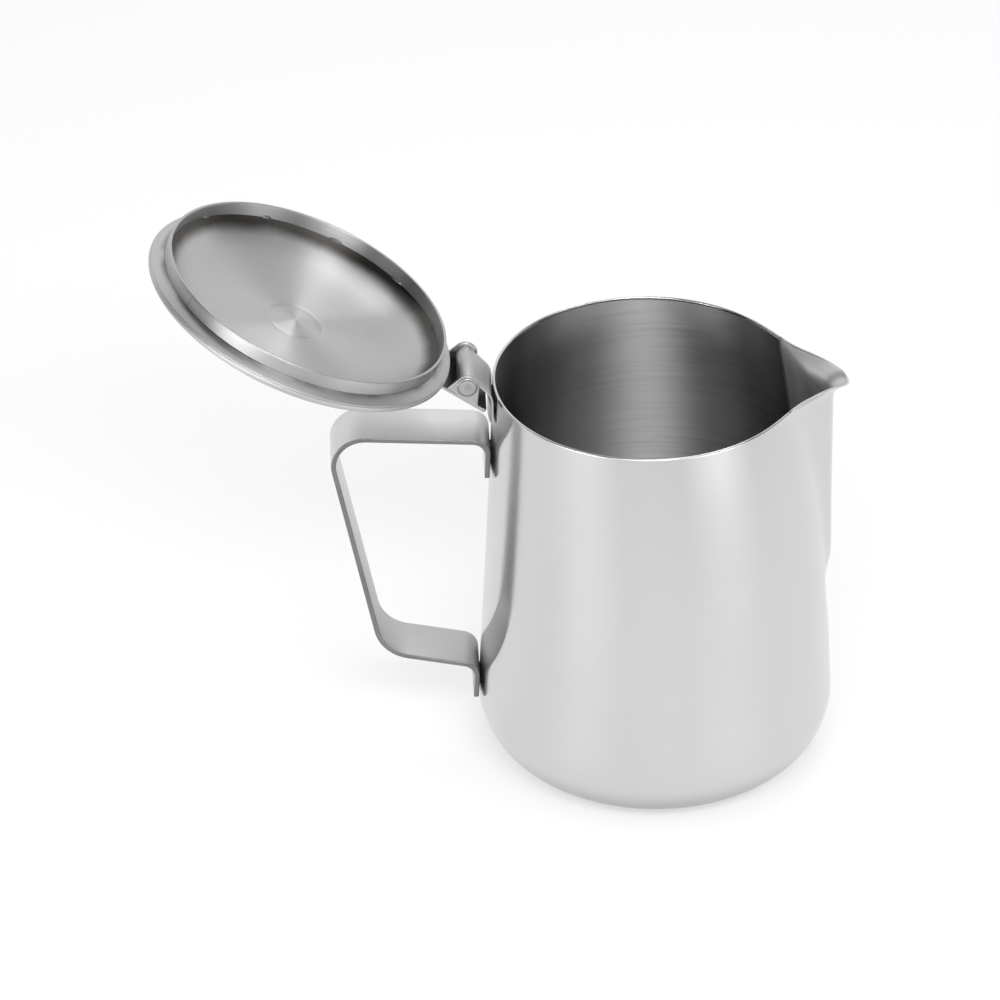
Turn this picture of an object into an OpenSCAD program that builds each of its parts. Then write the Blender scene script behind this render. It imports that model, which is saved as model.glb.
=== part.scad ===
// Hot milk jug with a hinged lid: a drawn steel body with a pulled spout, a strap handle,
// a thumb-lever hinge and a skirted lid. Sizes are millimetres, +Z is up.
// The origin is the centre of the base. The spout points along +X, the handle along -X.
// The lid is drawn in its closed place and then turned open about the hinge pin.

/* [Jug body] */
// Height of the rim above the base
jug_height = 132; // [122:1:150]
// Outer radius of the wall at its widest, just above the base corner
belly_radius = 54.6; // [50:0.1:60]
// How much less the plain wall's radius is at the rim than at the belly
rim_inset = 5; // [3:0.1:7]
// Width of the rounded corner between wall and base
corner_width = 20; // [10:0.5:26]
// Height of that corner
corner_height = 21; // [10:0.5:26]
// Thickness of the body's sheet
body_sheet = 0.9; // [0.7:0.1:1.2]

/* [Mouth and spout] */
// Shift of the round mouth toward the handle, left by pulling the spout
mouth_shift = 3.3; // [2.6:0.1:4]
// Loss of mouth radius, left by pulling the spout
mouth_pinch = 2.6; // [2:0.1:3.2]
// How far the spout's throat stands out past the plain rim
throat_out = 4.2; // [3.6:0.1:5]
// How far the flared lip stands out past the throat
lip_flare = 5.5; // [3:0.1:8]
// Depth below the rim at which the spout fades into the wall
spout_depth = 72; // [60:1:80]
// Depth of the flared lip below the rim
lip_depth = 9; // [6:0.5:14]
// Drop of the tip below the rim
tip_drop = 2.6; // [0:0.1:4]
// Radius of the spout's nose, seen from above
nose_radius = 6.5; // [4:0.1:8]
// Angle between each flank of the spout and the jug's middle plane
flank_angle = 41.6; // [36:0.2:48]
// Depth of the small dent that the forming tool leaves under the spout
dent_depth = 0.9; // [0:0.1:1.5]

/* [Handle] */
// Width of the handle's strap
strap_width = 18; // [14:0.5:22]
// Thickness of the strap
strap_sheet = 1.6; // [1.2:0.1:2]
// Depth below the rim of the upper arm's middle line at the wall
arm_depth = 17.3; // [15:0.1:24]
// Length of the upper tab, from the arm's middle line down to its end
upper_tab_length = 13.2; // [11:0.1:20]
// Length of the lower tab, from the arm's middle line down to the base corner
lower_tab_length = 12; // [10:0.1:16]
// How far the handle's upper corner stands out past the belly
upper_corner_out = 46.9; // [36:0.1:56]
// How far the handle's lower corner stands out past the belly
lower_corner_out = 29.9; // [24:0.1:44]
// Rise of the upper corner above the arm's root
upper_corner_rise = 2.4; // [0:0.1:6]
// Rise of the lower corner above the lower arm's root
lower_corner_rise = 5.7; // [0:0.1:10]
// Bend radius of the strap's middle line at the upper corner
upper_corner_bend = 9.5; // [8:0.5:18]
// Bend radius of the strap's middle line at the lower corner
lower_corner_bend = 12.2; // [8:0.5:16]
// Bend radius of the strap's middle line where the arms turn into the tabs
tab_bend = 4.8; // [3:0.1:6]

/* [Hinge] */
// How far the hinge pin's axis lies outside the rim
pin_out = 8; // [7.6:0.1:11]
// Height of the hinge pin above the rim
pin_rise = 3.9; // [3.4:0.1:5]
// Diameter of the hinge pin
pin_diameter = 3.6; // [2.6:0.1:4]
// Diameter of the pin's peened heads
pin_head_diameter = 6.6; // [5:0.1:7]
// Thickness of the hinge leaf's strip
leaf_sheet = 1.1; // [0.8:0.1:1.2]
// Width of the hinge bracket over its ears
bracket_width = 20.4; // [16:0.2:24]
// Thickness of the bracket's strip
bracket_sheet = 1.2; // [0.8:0.1:1.4]
// How far the ears' rounded ends stand out past the barrel
ear_margin = 0.75; // [0.4:0.05:0.9]
// Gap between the barrel and the bracket plate over it
plate_gap = 0.75; // [0.4:0.05:1.2]
// Slope of the bracket plate, rising away from the lid
plate_slope = 12.5; // [10:0.5:15]
// Length of the bracket's pad, which is bent to the lid's dome
pad_length = 18; // [16.5:0.5:20]
// Depth below the rim of the hinge leaf's foot
leaf_depth = 10.4; // [8:0.1:12]

/* [Lid] */
// Angle between the closed and the fully open lid
open_angle = 157.4; // [150:0.2:158]
// Gap between the lid's skirt and the inside of the mouth
skirt_gap = 0.9; // [0.8:0.1:2]
// Height of the skirt below the lid's shoulder
skirt_drop = 4.3; // [3:0.1:6]
// Thickness of the skirt's strip
skirt_sheet = 0.9; // [0.6:0.1:1.2]
// How far the lid's rolled edge stands out past the rim
lid_overhang = 2.1; // [1.6:0.1:2.4]
// Height of the lid's rolled edge over its shoulder's root
lid_height = 4.35; // [4.2:0.05:5]
// Rise of the lid's domed panel over its seat on the skirt
dome_rise = 7; // [6.4:0.1:7.4]
// Thickness of the lid's sheet
lid_sheet = 0.8; // [0.6:0.1:1]
// Radius of the roll at the lid's edge
roll_radius = 1.45; // [1.2:0.05:1.6]
// Radius of the shallow cone pressed into the middle of the panel
dimple_radius = 9; // [6:0.1:12]
// Depth of that cone, which stands proud inside the lid
dimple_depth = 0.35; // [0.1:0.05:0.5]
// Bearing of the skirt's butt seam, from the lid's free end
seam_angle = -33; // [-60:1:60]

/* [Knob] */
// Diameter of the lid's knob
knob_diameter = 19; // [14:0.5:22]
// Height of the knob over the lid
knob_height = 15; // [12:0.5:17]
// Diameter of the knob's foot
knob_foot_diameter = 13; // [10:0.5:14]
// Diameter of the knob's waist
knob_waist_diameter = 8; // [6:0.5:9]

/* [Welds] */
// Diameter of the spot welds
weld_diameter = 3.4; // [2.6:0.1:3.8]
// Depth to which a spot weld bites into the strip that it holds
weld_bite = 0.4; // [0.2:0.05:0.5]
// Count of tack welds round the skirt
tack_count = 12; // [8:1:16]
// Length of a tack weld
tack_length = 4; // [2:0.5:6]

/* [Fits] */
// Gap between the wall and the strips that are welded to it
weld_gap = 0.25; // [0.15:0.05:0.4]
// Gap between the face of a spot weld and the wall
weld_seat = 0.04; // [0.04:0.01:0.1]
// Radial running clearance of the pin in the barrel
pin_clearance = 0.05; // [0.02:0.01:0.1]
// Side clearance between the barrel and each ear
ear_clearance = 0.3; // [0.2:0.05:0.5]
// Gap between the closed lid and the rim
lid_clearance = 0.35; // [0.3:0.05:0.5]
// Gap between pieces of the lid that are welded together
lid_weld_gap = 0.05; // [0.02:0.01:0.1]
// Gap between the thumb lever and the hinge leaf at the open stop
stop_gap = 0.35; // [0.3:0.05:0.6]

/* [Hidden] */
$fn = 96;

// Overrun of every cut past the face that it leaves
overrun = 1;
// Full turn and right angle
turn = 360;
right = 90;

// Steps of the faceted body: round the spout, round the rest, and up each stretch of the wall
spout_half_angle = 36;
spout_step = 2.25;
wall_step = 6;
corner_steps = 6;
toe_steps = 4;
taper_steps = 1;
throat_steps = 3;
lip_steps = 6;
bend_steps = 12;
roll_steps = 8;
bead_steps = 12;

// The spout's toe is the short stretch where its throat fades into the wall
toe_length = 9;
toe_fall = 3.4;
crease = 1.2;
lip_power = 3;
egg_power = 2;
tip_angle = 6;
dent_angle = 7;
dent_height = 9;
dent_drop = 1.5;
rim_radius = belly_radius - rim_inset;
flat_radius = belly_radius - corner_width;
throat_reach = rim_radius + throat_out;
tip_reach = throat_reach + lip_flare;
toe_top = jug_height - spout_depth + toe_length;
toe_end = jug_height - spout_depth;
lip_start = jug_height - lip_depth;
flank_normal = right - flank_angle;

// Soft greater value: the two blend where they differ by less than the crease
function soft_max(a, b) =
    max(a, b) + pow(max(crease - abs(a - b), 0), 2) / (4 * crease);

// Radius of the plain wall at a height, by a straight taper from belly to rim
function taper_radius(z) =
    belly_radius + (rim_radius - belly_radius) * (z - corner_height) / (jug_height - corner_height);

// How far the pulling of the spout has changed the wall at a height, from 0 to 1
function pull(z) = pow(max(z - toe_end, 0) / spout_depth, egg_power);

// Radius of the shifted, pinched round wall at a bearing and height
function round_radius(a, z) =
    let (shift = mouth_shift * pull(z), size = taper_radius(z) - mouth_pinch * pull(z))
    sqrt(pow(size, 2) - pow(shift * sin(a), 2)) - shift * cos(a);

// Reach of the spout's nose at a height: toe, upright throat, flared lip
function nose_reach(z) =
    z > lip_start ? throat_reach + (tip_reach - throat_reach) * pow((z - lip_start) / lip_depth, lip_power)
    : z > toe_top ? throat_reach
    : throat_reach - toe_fall * pow((toe_top - z) / toe_length, 2);

// Radius of the round-nosed wedge that forms the spout, at a bearing and a nose reach
function wedge_radius(a, reach) =
    let (
        centre = reach - nose_radius,
        tangent = atan2(nose_radius * sin(flank_normal), centre + nose_radius * cos(flank_normal))
    )
    a < tangent
        ? centre * cos(a) + sqrt(pow(nose_radius, 2) - pow(centre * sin(a), 2))
        : (centre * cos(flank_normal) + nose_radius) / cos(a - flank_normal);

// Bearing from the spout, 0 to 180
function off_spout(a) = abs(a > turn / 2 ? a - turn : a);

// The dent under the spout's toe
function dent(a, z) =
    dent_depth * exp(-pow(off_spout(a) / dent_angle, 2) - pow((z - toe_end + dent_drop) / dent_height, 2));

// Outer radius of the wall at a bearing and height above the base corner
function wall_radius(a, z) =
    let (plain = round_radius(a, z), off = off_spout(a))
    (off < flank_normal && z > toe_end
        ? soft_max(plain, wedge_radius(off, nose_reach(z))) : plain) - dent(a, z);

// Drop of the lip's edge toward the tip, fading out down the lip
function lip_drop(a, z) =
    z <= lip_start ? 0
    : tip_drop * exp(-pow(off_spout(a) / tip_angle, 2)) * pow((z - lip_start) / lip_depth, 2);

// Bearings of the points round the body, closer together at the spout
bearings = concat(
    [for (a = [-spout_half_angle : spout_step : spout_half_angle]) a],
    [for (a = [spout_half_angle + wall_step : wall_step : turn - spout_half_angle - wall_step]) a]
);

// Heights of the points up the wall, closer together where it bends
wall_heights = concat(
    [for (i = [1 : taper_steps]) corner_height + (toe_end - toe_length - corner_height) * i / taper_steps],
    [for (i = [1 : 2 * toe_steps]) toe_end - toe_length + 2 * toe_length * i / (2 * toe_steps)],
    [for (i = [1 : throat_steps]) toe_top + (lip_start - toe_top) * i / throat_steps],
    [for (i = [1 : lip_steps]) lip_start + lip_depth * i / lip_steps]
);

// One ring of points on the wall, set in from the outer face by an inset
function wall_ring(z, inset) = [
    for (a = bearings)
    let (r = wall_radius(a, z) - inset)
    [r * cos(a), r * sin(a), z - lip_drop(a, z)]
];

// One ring of points on the base corner, at an angle of its quarter ellipse
function corner_ring(angle, inset) = [
    for (a = bearings)
    let (r = flat_radius + (corner_width - inset) * cos(angle))
    [r * cos(a), r * sin(a), corner_height - (corner_height - inset) * sin(angle)]
];

// All rings of one face of the sheet, from the base up to the rim
function sheet_rings(inset) = concat(
    [for (i = [0 : corner_steps]) corner_ring(right * (1 - i / corner_steps), inset)],
    [for (z = wall_heights) wall_ring(z, inset)]
);

// Tangent direction and point lists for strips bent from flat stock.
// A path is a list of corners, and each inner corner has a bend radius.
function heading(p, q) = atan2(q[1] - p[1], q[0] - p[0]);
function wrapped(a) = a > turn / 2 ? a - turn : a <= -turn / 2 ? a + turn : a;
function left_of(a) = [-sin(a), cos(a)];
function along(a) = [cos(a), sin(a)];

// Points of one bend, each with the strip's heading there
function bend_points(p, q, r, bend) =
    let (
        a0 = heading(p, q),
        sweep = wrapped(heading(q, r) - a0),
        side = sign(sweep),
        start = q - along(a0) * bend * tan(abs(sweep) / 2),
        centre = start + side * bend * left_of(a0)
    )
    [for (i = [0 : bend_steps]) let (a = a0 + sweep * i / bend_steps) [centre - side * bend * left_of(a), a]];

// Middle line of a strip, as points with headings
function strip_line(path, bends) =
    let (last = len(path) - 1)
    concat(
        [[path[0], heading(path[0], path[1])]],
        [for (i = [1 : last - 1]) each bend_points(path[i - 1], path[i], path[i + 1], bends[i - 1])],
        [[path[last], heading(path[last - 1], path[last])]]
    );

// Outline of a strip of a thickness about its middle line
function strip_outline(path, bends, sheet) =
    let (line = strip_line(path, bends), half = sheet / 2, last = len(line) - 1)
    concat(
        [for (p = line) p[0] + half * left_of(p[1])],
        [for (i = [last : -1 : 0]) line[i][0] - half * left_of(line[i][1])]
    );

// Outline drawn in the X and Z plane, given a width along Y about the middle plane
module across(width) {
    translate([0, width / 2, 0])
        rotate([right, 0, 0])
            linear_extrude(width)
                children();
}

// Handle: corners of the strap's middle line, from the upper tab's end to the lower tab's end
arm_z = jug_height - arm_depth;
upper_tab_z = arm_z - upper_tab_length;
lower_tab_z = corner_height;
lower_arm_z = lower_tab_z + lower_tab_length;
function wall_x(z) = -wall_radius(turn / 2, z);
function strap_point(z) = [wall_x(z) - weld_gap - strap_sheet / 2, z];
strap_path = [
    strap_point(upper_tab_z),
    strap_point(arm_z),
    [-belly_radius - upper_corner_out, arm_z + upper_corner_rise],
    [-belly_radius - lower_corner_out, lower_arm_z + lower_corner_rise],
    strap_point(lower_arm_z),
    strap_point(lower_tab_z)
];
strap_bends = [tab_bend, upper_corner_bend, lower_corner_bend, tab_bend];

// Spot welds of the handle: two on each tab's middle line, at shares of the tab's flat length
tab_weld_shares = [0.26, 0.82];
handle_weld_heights = concat(
    [for (s = tab_weld_shares) upper_tab_z + (upper_tab_length - tab_bend) * s],
    [for (s = tab_weld_shares) lower_tab_z + (lower_tab_length - tab_bend) * s]
);
weld_length = weld_gap + weld_bite - weld_seat;
tilt_step = 0.5;
function wall_tilt(z) = atan2(wall_x(z + tilt_step) - wall_x(z - tilt_step), 2 * tilt_step);

// Hinge: the pin, the barrel round it and the leaf's neck, which leaves the barrel on a tangent
mouth_radius = rim_radius - mouth_pinch;
pin_x = wall_x(jug_height) - pin_out;
pin_z = jug_height + pin_rise;
pin_radius = pin_diameter / 2;
head_radius = pin_head_diameter / 2;
head_height = 1;
head_crown_share = 0.45;
bore_radius = pin_radius + pin_clearance;
barrel_radius = bore_radius + leaf_sheet;
barrel_length = bracket_width - 2 * bracket_sheet - 2 * ear_clearance;
leaf_middle = bore_radius + leaf_sheet / 2;

// Lid: places in the closed pose, with its axis on the mouth's axis
lid_x = -mouth_shift;
skirt_radius = mouth_radius - body_sheet - skirt_gap;
lid_radius = mouth_radius + lid_overhang;
roll_centre_r = lid_radius - roll_radius;
roll_centre_z = lid_height - roll_radius;
shoulder_slope = atan2(roll_centre_z, roll_centre_r - skirt_radius)
    - asin(roll_radius / norm([roll_centre_r - skirt_radius, roll_centre_z]));
shoulder_rise = skirt_gap * tan(shoulder_slope);
// Height of the shoulder's root: the slope clears the rim's inner edge by the lid's clearance
lid_z = jug_height - shoulder_rise + lid_clearance / cos(shoulder_slope);

// The lid's sheet lies on the skirt at its seat, with a gutter over it, and the dome rises inside that
seat_radius = skirt_radius + lid_weld_gap;
seat_z = lid_weld_gap * tan(shoulder_slope);
gutter_z = seat_z + lid_sheet;
gutter_root = [seat_radius, seat_z] + lid_sheet * left_of(shoulder_slope);
gutter_radius = gutter_root[0] + (gutter_z - gutter_root[1]) / tan(shoulder_slope);
dome_radius = skirt_radius - skirt_sheet - lid_weld_gap;
dome_power = 6;
dome_shares = [0.4, 0.55, 0.68, 0.78, 0.86, 0.93, 1];
function dome_point(share, reach, base) = [reach * share, base + dome_rise * (1 - pow(share, dome_power))];
dome_top = [for (s = dome_shares) dome_point(s, gutter_radius, gutter_z)];
dome_inside = [for (s = dome_shares) dome_point(s, dome_radius, seat_z)];
lid_top_z = lid_z + dome_top[0][1];

// The leaf's foot follows the wall, and its neck passes under the closed lid's roll
leaf_foot_radius = mouth_radius + weld_gap;
leaf_foot_base = jug_height - leaf_depth;
leaf_foot_x = mouth_radius + min(wall_x(leaf_foot_base), wall_x(jug_height));
leaf_foot_middle = leaf_foot_x - leaf_foot_radius - leaf_sheet / 2;
roll_x = lid_x - roll_centre_r;
roll_z = lid_z + roll_centre_z;
neck_gap = roll_radius + lid_clearance + leaf_sheet / 2;
neck_span = [roll_x - pin_x, roll_z - pin_z];
neck_angle = atan2(neck_span[1], neck_span[0]) + acos((leaf_middle + neck_gap) / norm(neck_span));
neck_start = [pin_x, pin_z] + leaf_middle * along(neck_angle);
neck_length = (leaf_foot_middle - neck_start[0]) / sin(neck_angle);
neck_end = neck_start + neck_length * along(neck_angle - right);
leaf_foot_height = neck_end[1] - leaf_foot_base;
leaf_weld_y_share = 0.25;
leaf_weld_depth_share = 0.62;
leaf_weld_z = jug_height - leaf_depth * leaf_weld_depth_share;
leaf_weld_gap = wall_x(leaf_weld_z) - leaf_foot_x + leaf_foot_radius - weld_seat;

// Bracket: pad on the lid, plate over the pin, lever past it
plate_half = bracket_sheet / 2;
plate_rise = barrel_radius + plate_gap + plate_half;
ear_radius = barrel_radius + ear_margin;
plate_z = pin_z + plate_rise;

// The pad lies along two of the dome's facets: numbers of the upper and the lower one
pad_facets = [1, 3];
function facet_slope(k) =
    atan2(dome_top[k][1] - dome_top[k + 1][1], dome_top[k + 1][0] - dome_top[k][0]);
function facet_middle(k) = [
    lid_x - (dome_top[k][0] + dome_top[k + 1][0]) / 2,
    lid_z + (dome_top[k][1] + dome_top[k + 1][1]) / 2
];
function pad_middle(k) = facet_middle(k) + (lid_weld_gap + plate_half) * left_of(facet_slope(k));
function meet(p, a, q, b) = p + along(a) * cross(q - p, along(b)) / cross(along(a), along(b));
pad_slope = facet_slope(pad_facets[0]);
pad_root_slope = facet_slope(pad_facets[1]);
pad_corner = meet(pad_middle(pad_facets[0]), pad_slope, pad_middle(pad_facets[1]), pad_root_slope);
pad_kink = meet([pin_x, plate_z], -plate_slope, pad_middle(pad_facets[1]), pad_root_slope);

// The lever is as long as lets its end stop just short of the leaf's foot when the lid is open
stop_x = leaf_foot_middle - leaf_sheet / 2 - stop_gap;
lever_root_x = pin_x - plate_half * sin(plate_slope) * cos(open_angle)
    - (plate_rise - plate_half * cos(plate_slope)) * sin(open_angle);
lever_length = (lever_root_x - stop_x) / cos(open_angle - plate_slope);
bracket_path = [
    pad_corner + (pad_length - norm(pad_corner - pad_kink)) * along(pad_slope),
    pad_corner,
    pad_kink,
    [pin_x, plate_z] + lever_length * along(turn / 2 - plate_slope)
];
pad_bends = [12, 6];
ear_reach = 5.7;
ear_inner_y = bracket_width / 2 - bracket_sheet;
pad_weld_y_share = 0.25;

// Knob: shares of its height at which its outline changes
knob_foot_share = 0.16;
knob_waist_share = 0.34;
knob_crown_share = 0.72;
knob_seat_z = lid_top_z + lid_weld_gap;
tack_height = 0.7;
skirt_top = seat_z - lid_weld_gap;
seam_gap = 0.3;

// Turn of the lid from closed to the open pose about the hinge pin
module opened() {
    translate([pin_x, 0, pin_z])
        rotate([0, -open_angle, 0])
            translate([-pin_x, 0, -pin_z])
                children();
}

// Jug body: one drawn shell with its mouth pulled into a spout
module jug_body() {
    outer = sheet_rings(0);
    inner = sheet_rings(body_sheet);
    rings = concat(outer, [for (i = [len(inner) - 1 : -1 : 0]) inner[i]]);
    count = len(bearings);
    levels = len(rings);
    skin = [
        for (k = [0 : levels - 2], i = [0 : count - 1])
        let (j = (i + 1) % count, low = k * count, high = low + count)
        each [[low + i, high + i, high + j], [low + i, high + j, low + j]]
    ];
    underside = [for (i = [0 : count - 1]) i];
    floor_face = [for (i = [count - 1 : -1 : 0]) (levels - 1) * count + i];
    color("silver")
        polyhedron([for (r = rings) each r], concat(skin, [underside, floor_face]), convexity = 6);
}

// One spot weld on the handle's middle plane, from the wall's face into the strap
module wall_weld(z) {
    translate([wall_x(z), 0, z])
        rotate([0, wall_tilt(z) - right, 0])
            translate([0, 0, weld_seat])
                cylinder(d = weld_diameter, h = weld_length);
}

module handle_welds() {
    color("gray")
        for (z = handle_weld_heights)
            wall_weld(z);
}

// Handle: one strap bent to shape, with a tab at each end
module handle() {
    color("lightgray")
        difference() {
            across(strap_width)
                polygon(strip_outline(strap_path, strap_bends, strap_sheet));
            for (z = handle_weld_heights)
                wall_weld(z);
        }
}

// Spot welds of the hinge leaf, square to its curved foot
module leaf_weld_pair() {
    bearing = asin(barrel_length * leaf_weld_y_share / leaf_foot_radius);
    for (side = [-1, 1])
        translate([leaf_foot_x, 0, leaf_weld_z])
            rotate([0, 0, turn / 2 + side * bearing])
                translate([leaf_foot_radius - leaf_weld_gap, 0, 0])
                    rotate([0, right - wall_tilt(leaf_weld_z), 0])
                        cylinder(d = weld_diameter, h = leaf_weld_gap + weld_bite);
}

module leaf_welds() {
    color("gray")
        leaf_weld_pair();
}

// Hinge leaf: barrel, neck and a foot curved to the wall
module hinge_leaf() {
    color("silver")
        difference() {
            union() {
                across(barrel_length) {
                    translate([pin_x, pin_z])
                        circle(r = barrel_radius);
                    translate(neck_end)
                        circle(d = leaf_sheet);
                    polygon([
                        neck_start + leaf_sheet / 2 * along(neck_angle),
                        neck_end + leaf_sheet / 2 * along(neck_angle),
                        neck_end - leaf_sheet / 2 * along(neck_angle),
                        neck_start - leaf_sheet / 2 * along(neck_angle)
                    ]);
                }
                leaf_foot();
            }
            translate([pin_x, 0, pin_z])
                rotate([right, 0, 0])
                    cylinder(r = bore_radius, h = barrel_length + 2 * overrun, center = true);
            leaf_weld_pair();
        }
}

// Foot of the leaf: a piece of a tube that lies on the wall
module leaf_foot() {
    intersection() {
        translate([leaf_foot_x, 0, leaf_foot_base])
            difference() {
                cylinder(r = leaf_foot_radius + leaf_sheet, h = leaf_foot_height);
                translate([0, 0, -overrun])
                    cylinder(r = leaf_foot_radius, h = leaf_foot_height + 2 * overrun);
            }
        translate([leaf_foot_x - leaf_foot_radius - leaf_sheet - overrun, -barrel_length / 2, 0])
            cube([leaf_foot_radius, barrel_length, leaf_foot_base + leaf_foot_height + overrun]);
    }
}

// Hinge pin: a rivet through both ears, peened at each end
module hinge_pin() {
    color("gainsboro")
        opened()
            translate([pin_x, 0, pin_z])
                rotate([right, 0, 0])
                    rotate_extrude()
                        polygon([
                            [0, -bracket_width / 2 - head_height],
                            [head_radius * head_crown_share, -bracket_width / 2 - head_height],
                            [head_radius, -bracket_width / 2 - head_height * head_crown_share],
                            [head_radius, -bracket_width / 2],
                            [pin_radius, -bracket_width / 2],
                            [pin_radius, bracket_width / 2],
                            [head_radius, bracket_width / 2],
                            [head_radius, bracket_width / 2 + head_height * head_crown_share],
                            [head_radius * head_crown_share, bracket_width / 2 + head_height],
                            [0, bracket_width / 2 + head_height]
                        ]);
}

// Spot welds of the bracket's pad, from the dome's upper facet square into the pad
module pad_weld_pair() {
    seat = facet_middle(pad_facets[0]);
    for (side = [-1, 1])
        translate([seat[0], side * bracket_width * pad_weld_y_share, seat[1]])
            rotate([0, -pad_slope, 0])
                cylinder(d = weld_diameter, h = lid_weld_gap + weld_bite);
}

module bracket_welds() {
    color("gray")
        opened()
            pad_weld_pair();
}

// Outline of one ear, about the pin: a round end and its tangents up to the plate
module ear_outline() {
    lid_end = [ear_reach, plate_rise - ear_reach * tan(plate_slope)];
    lever_end = [-ear_reach, plate_rise + ear_reach * tan(plate_slope)];
    circle(r = ear_radius);
    polygon([
        lid_end,
        lever_end,
        ear_radius * along(heading([0, 0], lever_end) + acos(ear_radius / norm(lever_end))),
        ear_radius * along(heading([0, 0], lid_end) - acos(ear_radius / norm(lid_end)))
    ]);
}

// Hinge bracket: a pad on the lid, two ears round the barrel and a thumb lever
module hinge_bracket() {
    color("silver")
        opened()
            difference() {
                union() {
                    across(bracket_width)
                        polygon(strip_outline(bracket_path, pad_bends, bracket_sheet));
                    for (side = [-1, 1])
                        translate([pin_x, side * (ear_inner_y + bracket_sheet / 2), pin_z])
                            across(bracket_sheet)
                                ear_outline();
                }
                translate([pin_x, 0, pin_z])
                    rotate([right, 0, 0])
                        cylinder(r = pin_radius, h = bracket_width + 2 * overrun, center = true);
                pad_weld_pair();
            }
}

// Lid cover: one sheet with a domed panel, a seat over the skirt and a flared rim that ends in a
// rolled bead. A shallow cone is pressed into the panel's middle
module lid_cover() {
    bead_start = shoulder_slope + turn / 2 + asin((roll_radius - lid_sheet) / roll_radius);
    bead_end = shoulder_slope - right;
    last = len(dome_shares) - 1;
    color("silver")
        opened()
            translate([lid_x, 0, lid_z])
                rotate_extrude()
                    polygon(concat(
                        [[0, dome_inside[0][1] - dimple_depth], [0, dome_top[0][1]]],
                        dome_top,
                        [
                            for (i = [0 : bead_steps])
                            [roll_centre_r, roll_centre_z]
                                + roll_radius * along(bead_start + (bead_end - bead_start) * i / bead_steps)
                        ],
                        [[seat_radius, seat_z]],
                        [for (i = [last : -1 : 0]) dome_inside[i]],
                        [[dimple_radius, dome_inside[0][1]]]
                    ));
}

// Tack welds round the skirt's root, in the corner under the seat
module tack_ring() {
    tack_sweep = tack_length / skirt_radius * turn / (2 * PI);
    for (i = [0 : tack_count - 1])
        translate([lid_x, 0, lid_z + skirt_top - tack_height])
            rotate([0, 0, turn * (i + 1 / 2) / tack_count - tack_sweep / 2])
                rotate_extrude(angle = tack_sweep)
                    translate([skirt_radius - skirt_sheet - tack_height, 0])
                        polygon([[0, tack_height], [tack_height, 0], [tack_height, tack_height]]);
}

module skirt_tacks() {
    color("gray")
        opened()
            tack_ring();
}

// Lid skirt: a strip rolled into a ring, with a butt seam, that guides the lid in the mouth
module lid_skirt() {
    seam_sweep = seam_gap / skirt_radius * turn / (2 * PI);
    color("silver")
        opened()
            translate([lid_x, 0, lid_z - skirt_drop])
                rotate([0, 0, seam_angle + seam_sweep / 2])
                    rotate_extrude(angle = turn - seam_sweep)
                        translate([skirt_radius - skirt_sheet, 0])
                            square([skirt_sheet, skirt_drop + skirt_top]);
}

// Weld between the knob's foot and the lid
module knob_nugget() {
    translate([lid_x, 0, lid_top_z])
        cylinder(d = weld_diameter, h = lid_weld_gap + weld_bite);
}

module knob_weld() {
    color("gray")
        opened()
            knob_nugget();
}

// Lid knob: a turned button on a waisted foot
module lid_knob() {
    foot = knob_foot_diameter / 2;
    waist = knob_waist_diameter / 2;
    head = knob_diameter / 2;
    crown_z = knob_height * knob_crown_share;
    crown_rise = knob_height - crown_z;
    color("gainsboro")
        opened()
            difference() {
                translate([lid_x, 0, knob_seat_z])
                    rotate_extrude()
                        polygon(concat(
                            [
                                [0, 0],
                                [foot, 0],
                                [foot, knob_height * knob_foot_share / 2],
                                [waist, knob_height * knob_foot_share],
                                [waist, knob_height * knob_waist_share]
                            ],
                            [
                                for (i = [0 : roll_steps])
                                [
                                    head * cos(right * i / roll_steps),
                                    crown_z + crown_rise * sin(right * i / roll_steps)
                                ]
                            ]
                        ));
                knob_nugget();
            }
}

jug_body();
handle();
handle_welds();
hinge_leaf();
leaf_welds();
hinge_pin();
hinge_bracket();
bracket_welds();
lid_cover();
lid_skirt();
skirt_tacks();
lid_knob();
knob_weld();
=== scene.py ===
"""Looks of a steel hot milk jug with a hinged lid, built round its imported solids.

Sizes are millimetres in the part's own frame: the origin is the middle of the base, the spout
points along +X and the hinge lies toward -X. They become metres when a mesh is made. The lid's
pieces are drawn in their closed place and turned open about the hinge pin.
"""

import logging
import math
from dataclasses import dataclass, field
from enum import Enum

import bmesh
import bpy
import numpy as np
from mathutils import Matrix, Vector


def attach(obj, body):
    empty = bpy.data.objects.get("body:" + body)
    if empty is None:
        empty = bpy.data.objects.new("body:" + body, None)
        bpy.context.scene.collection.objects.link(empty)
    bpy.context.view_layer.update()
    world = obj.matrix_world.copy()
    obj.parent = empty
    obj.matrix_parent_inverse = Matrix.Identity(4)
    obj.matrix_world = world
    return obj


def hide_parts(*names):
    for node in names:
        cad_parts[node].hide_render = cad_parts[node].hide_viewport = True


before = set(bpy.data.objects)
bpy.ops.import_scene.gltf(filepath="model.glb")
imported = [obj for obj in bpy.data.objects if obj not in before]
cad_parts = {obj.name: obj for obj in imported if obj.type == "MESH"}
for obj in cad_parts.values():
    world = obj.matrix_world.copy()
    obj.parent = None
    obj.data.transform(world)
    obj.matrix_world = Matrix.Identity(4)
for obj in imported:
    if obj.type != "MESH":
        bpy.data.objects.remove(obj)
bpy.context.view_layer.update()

LOG = logging.getLogger("milk_jug")
MM = 0.001
TURN = 2 * math.pi
MERGE_DISTANCE = 1e-7
SHORTEST_EDGE = 1e-8

Profile = list[tuple[float, float]]
Face = tuple[int, ...]
Station = tuple[np.ndarray, float]
Colour = tuple[float, float, float]
Socket = bpy.types.NodeSocket
Value = Socket | float | tuple[float, ...]


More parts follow.
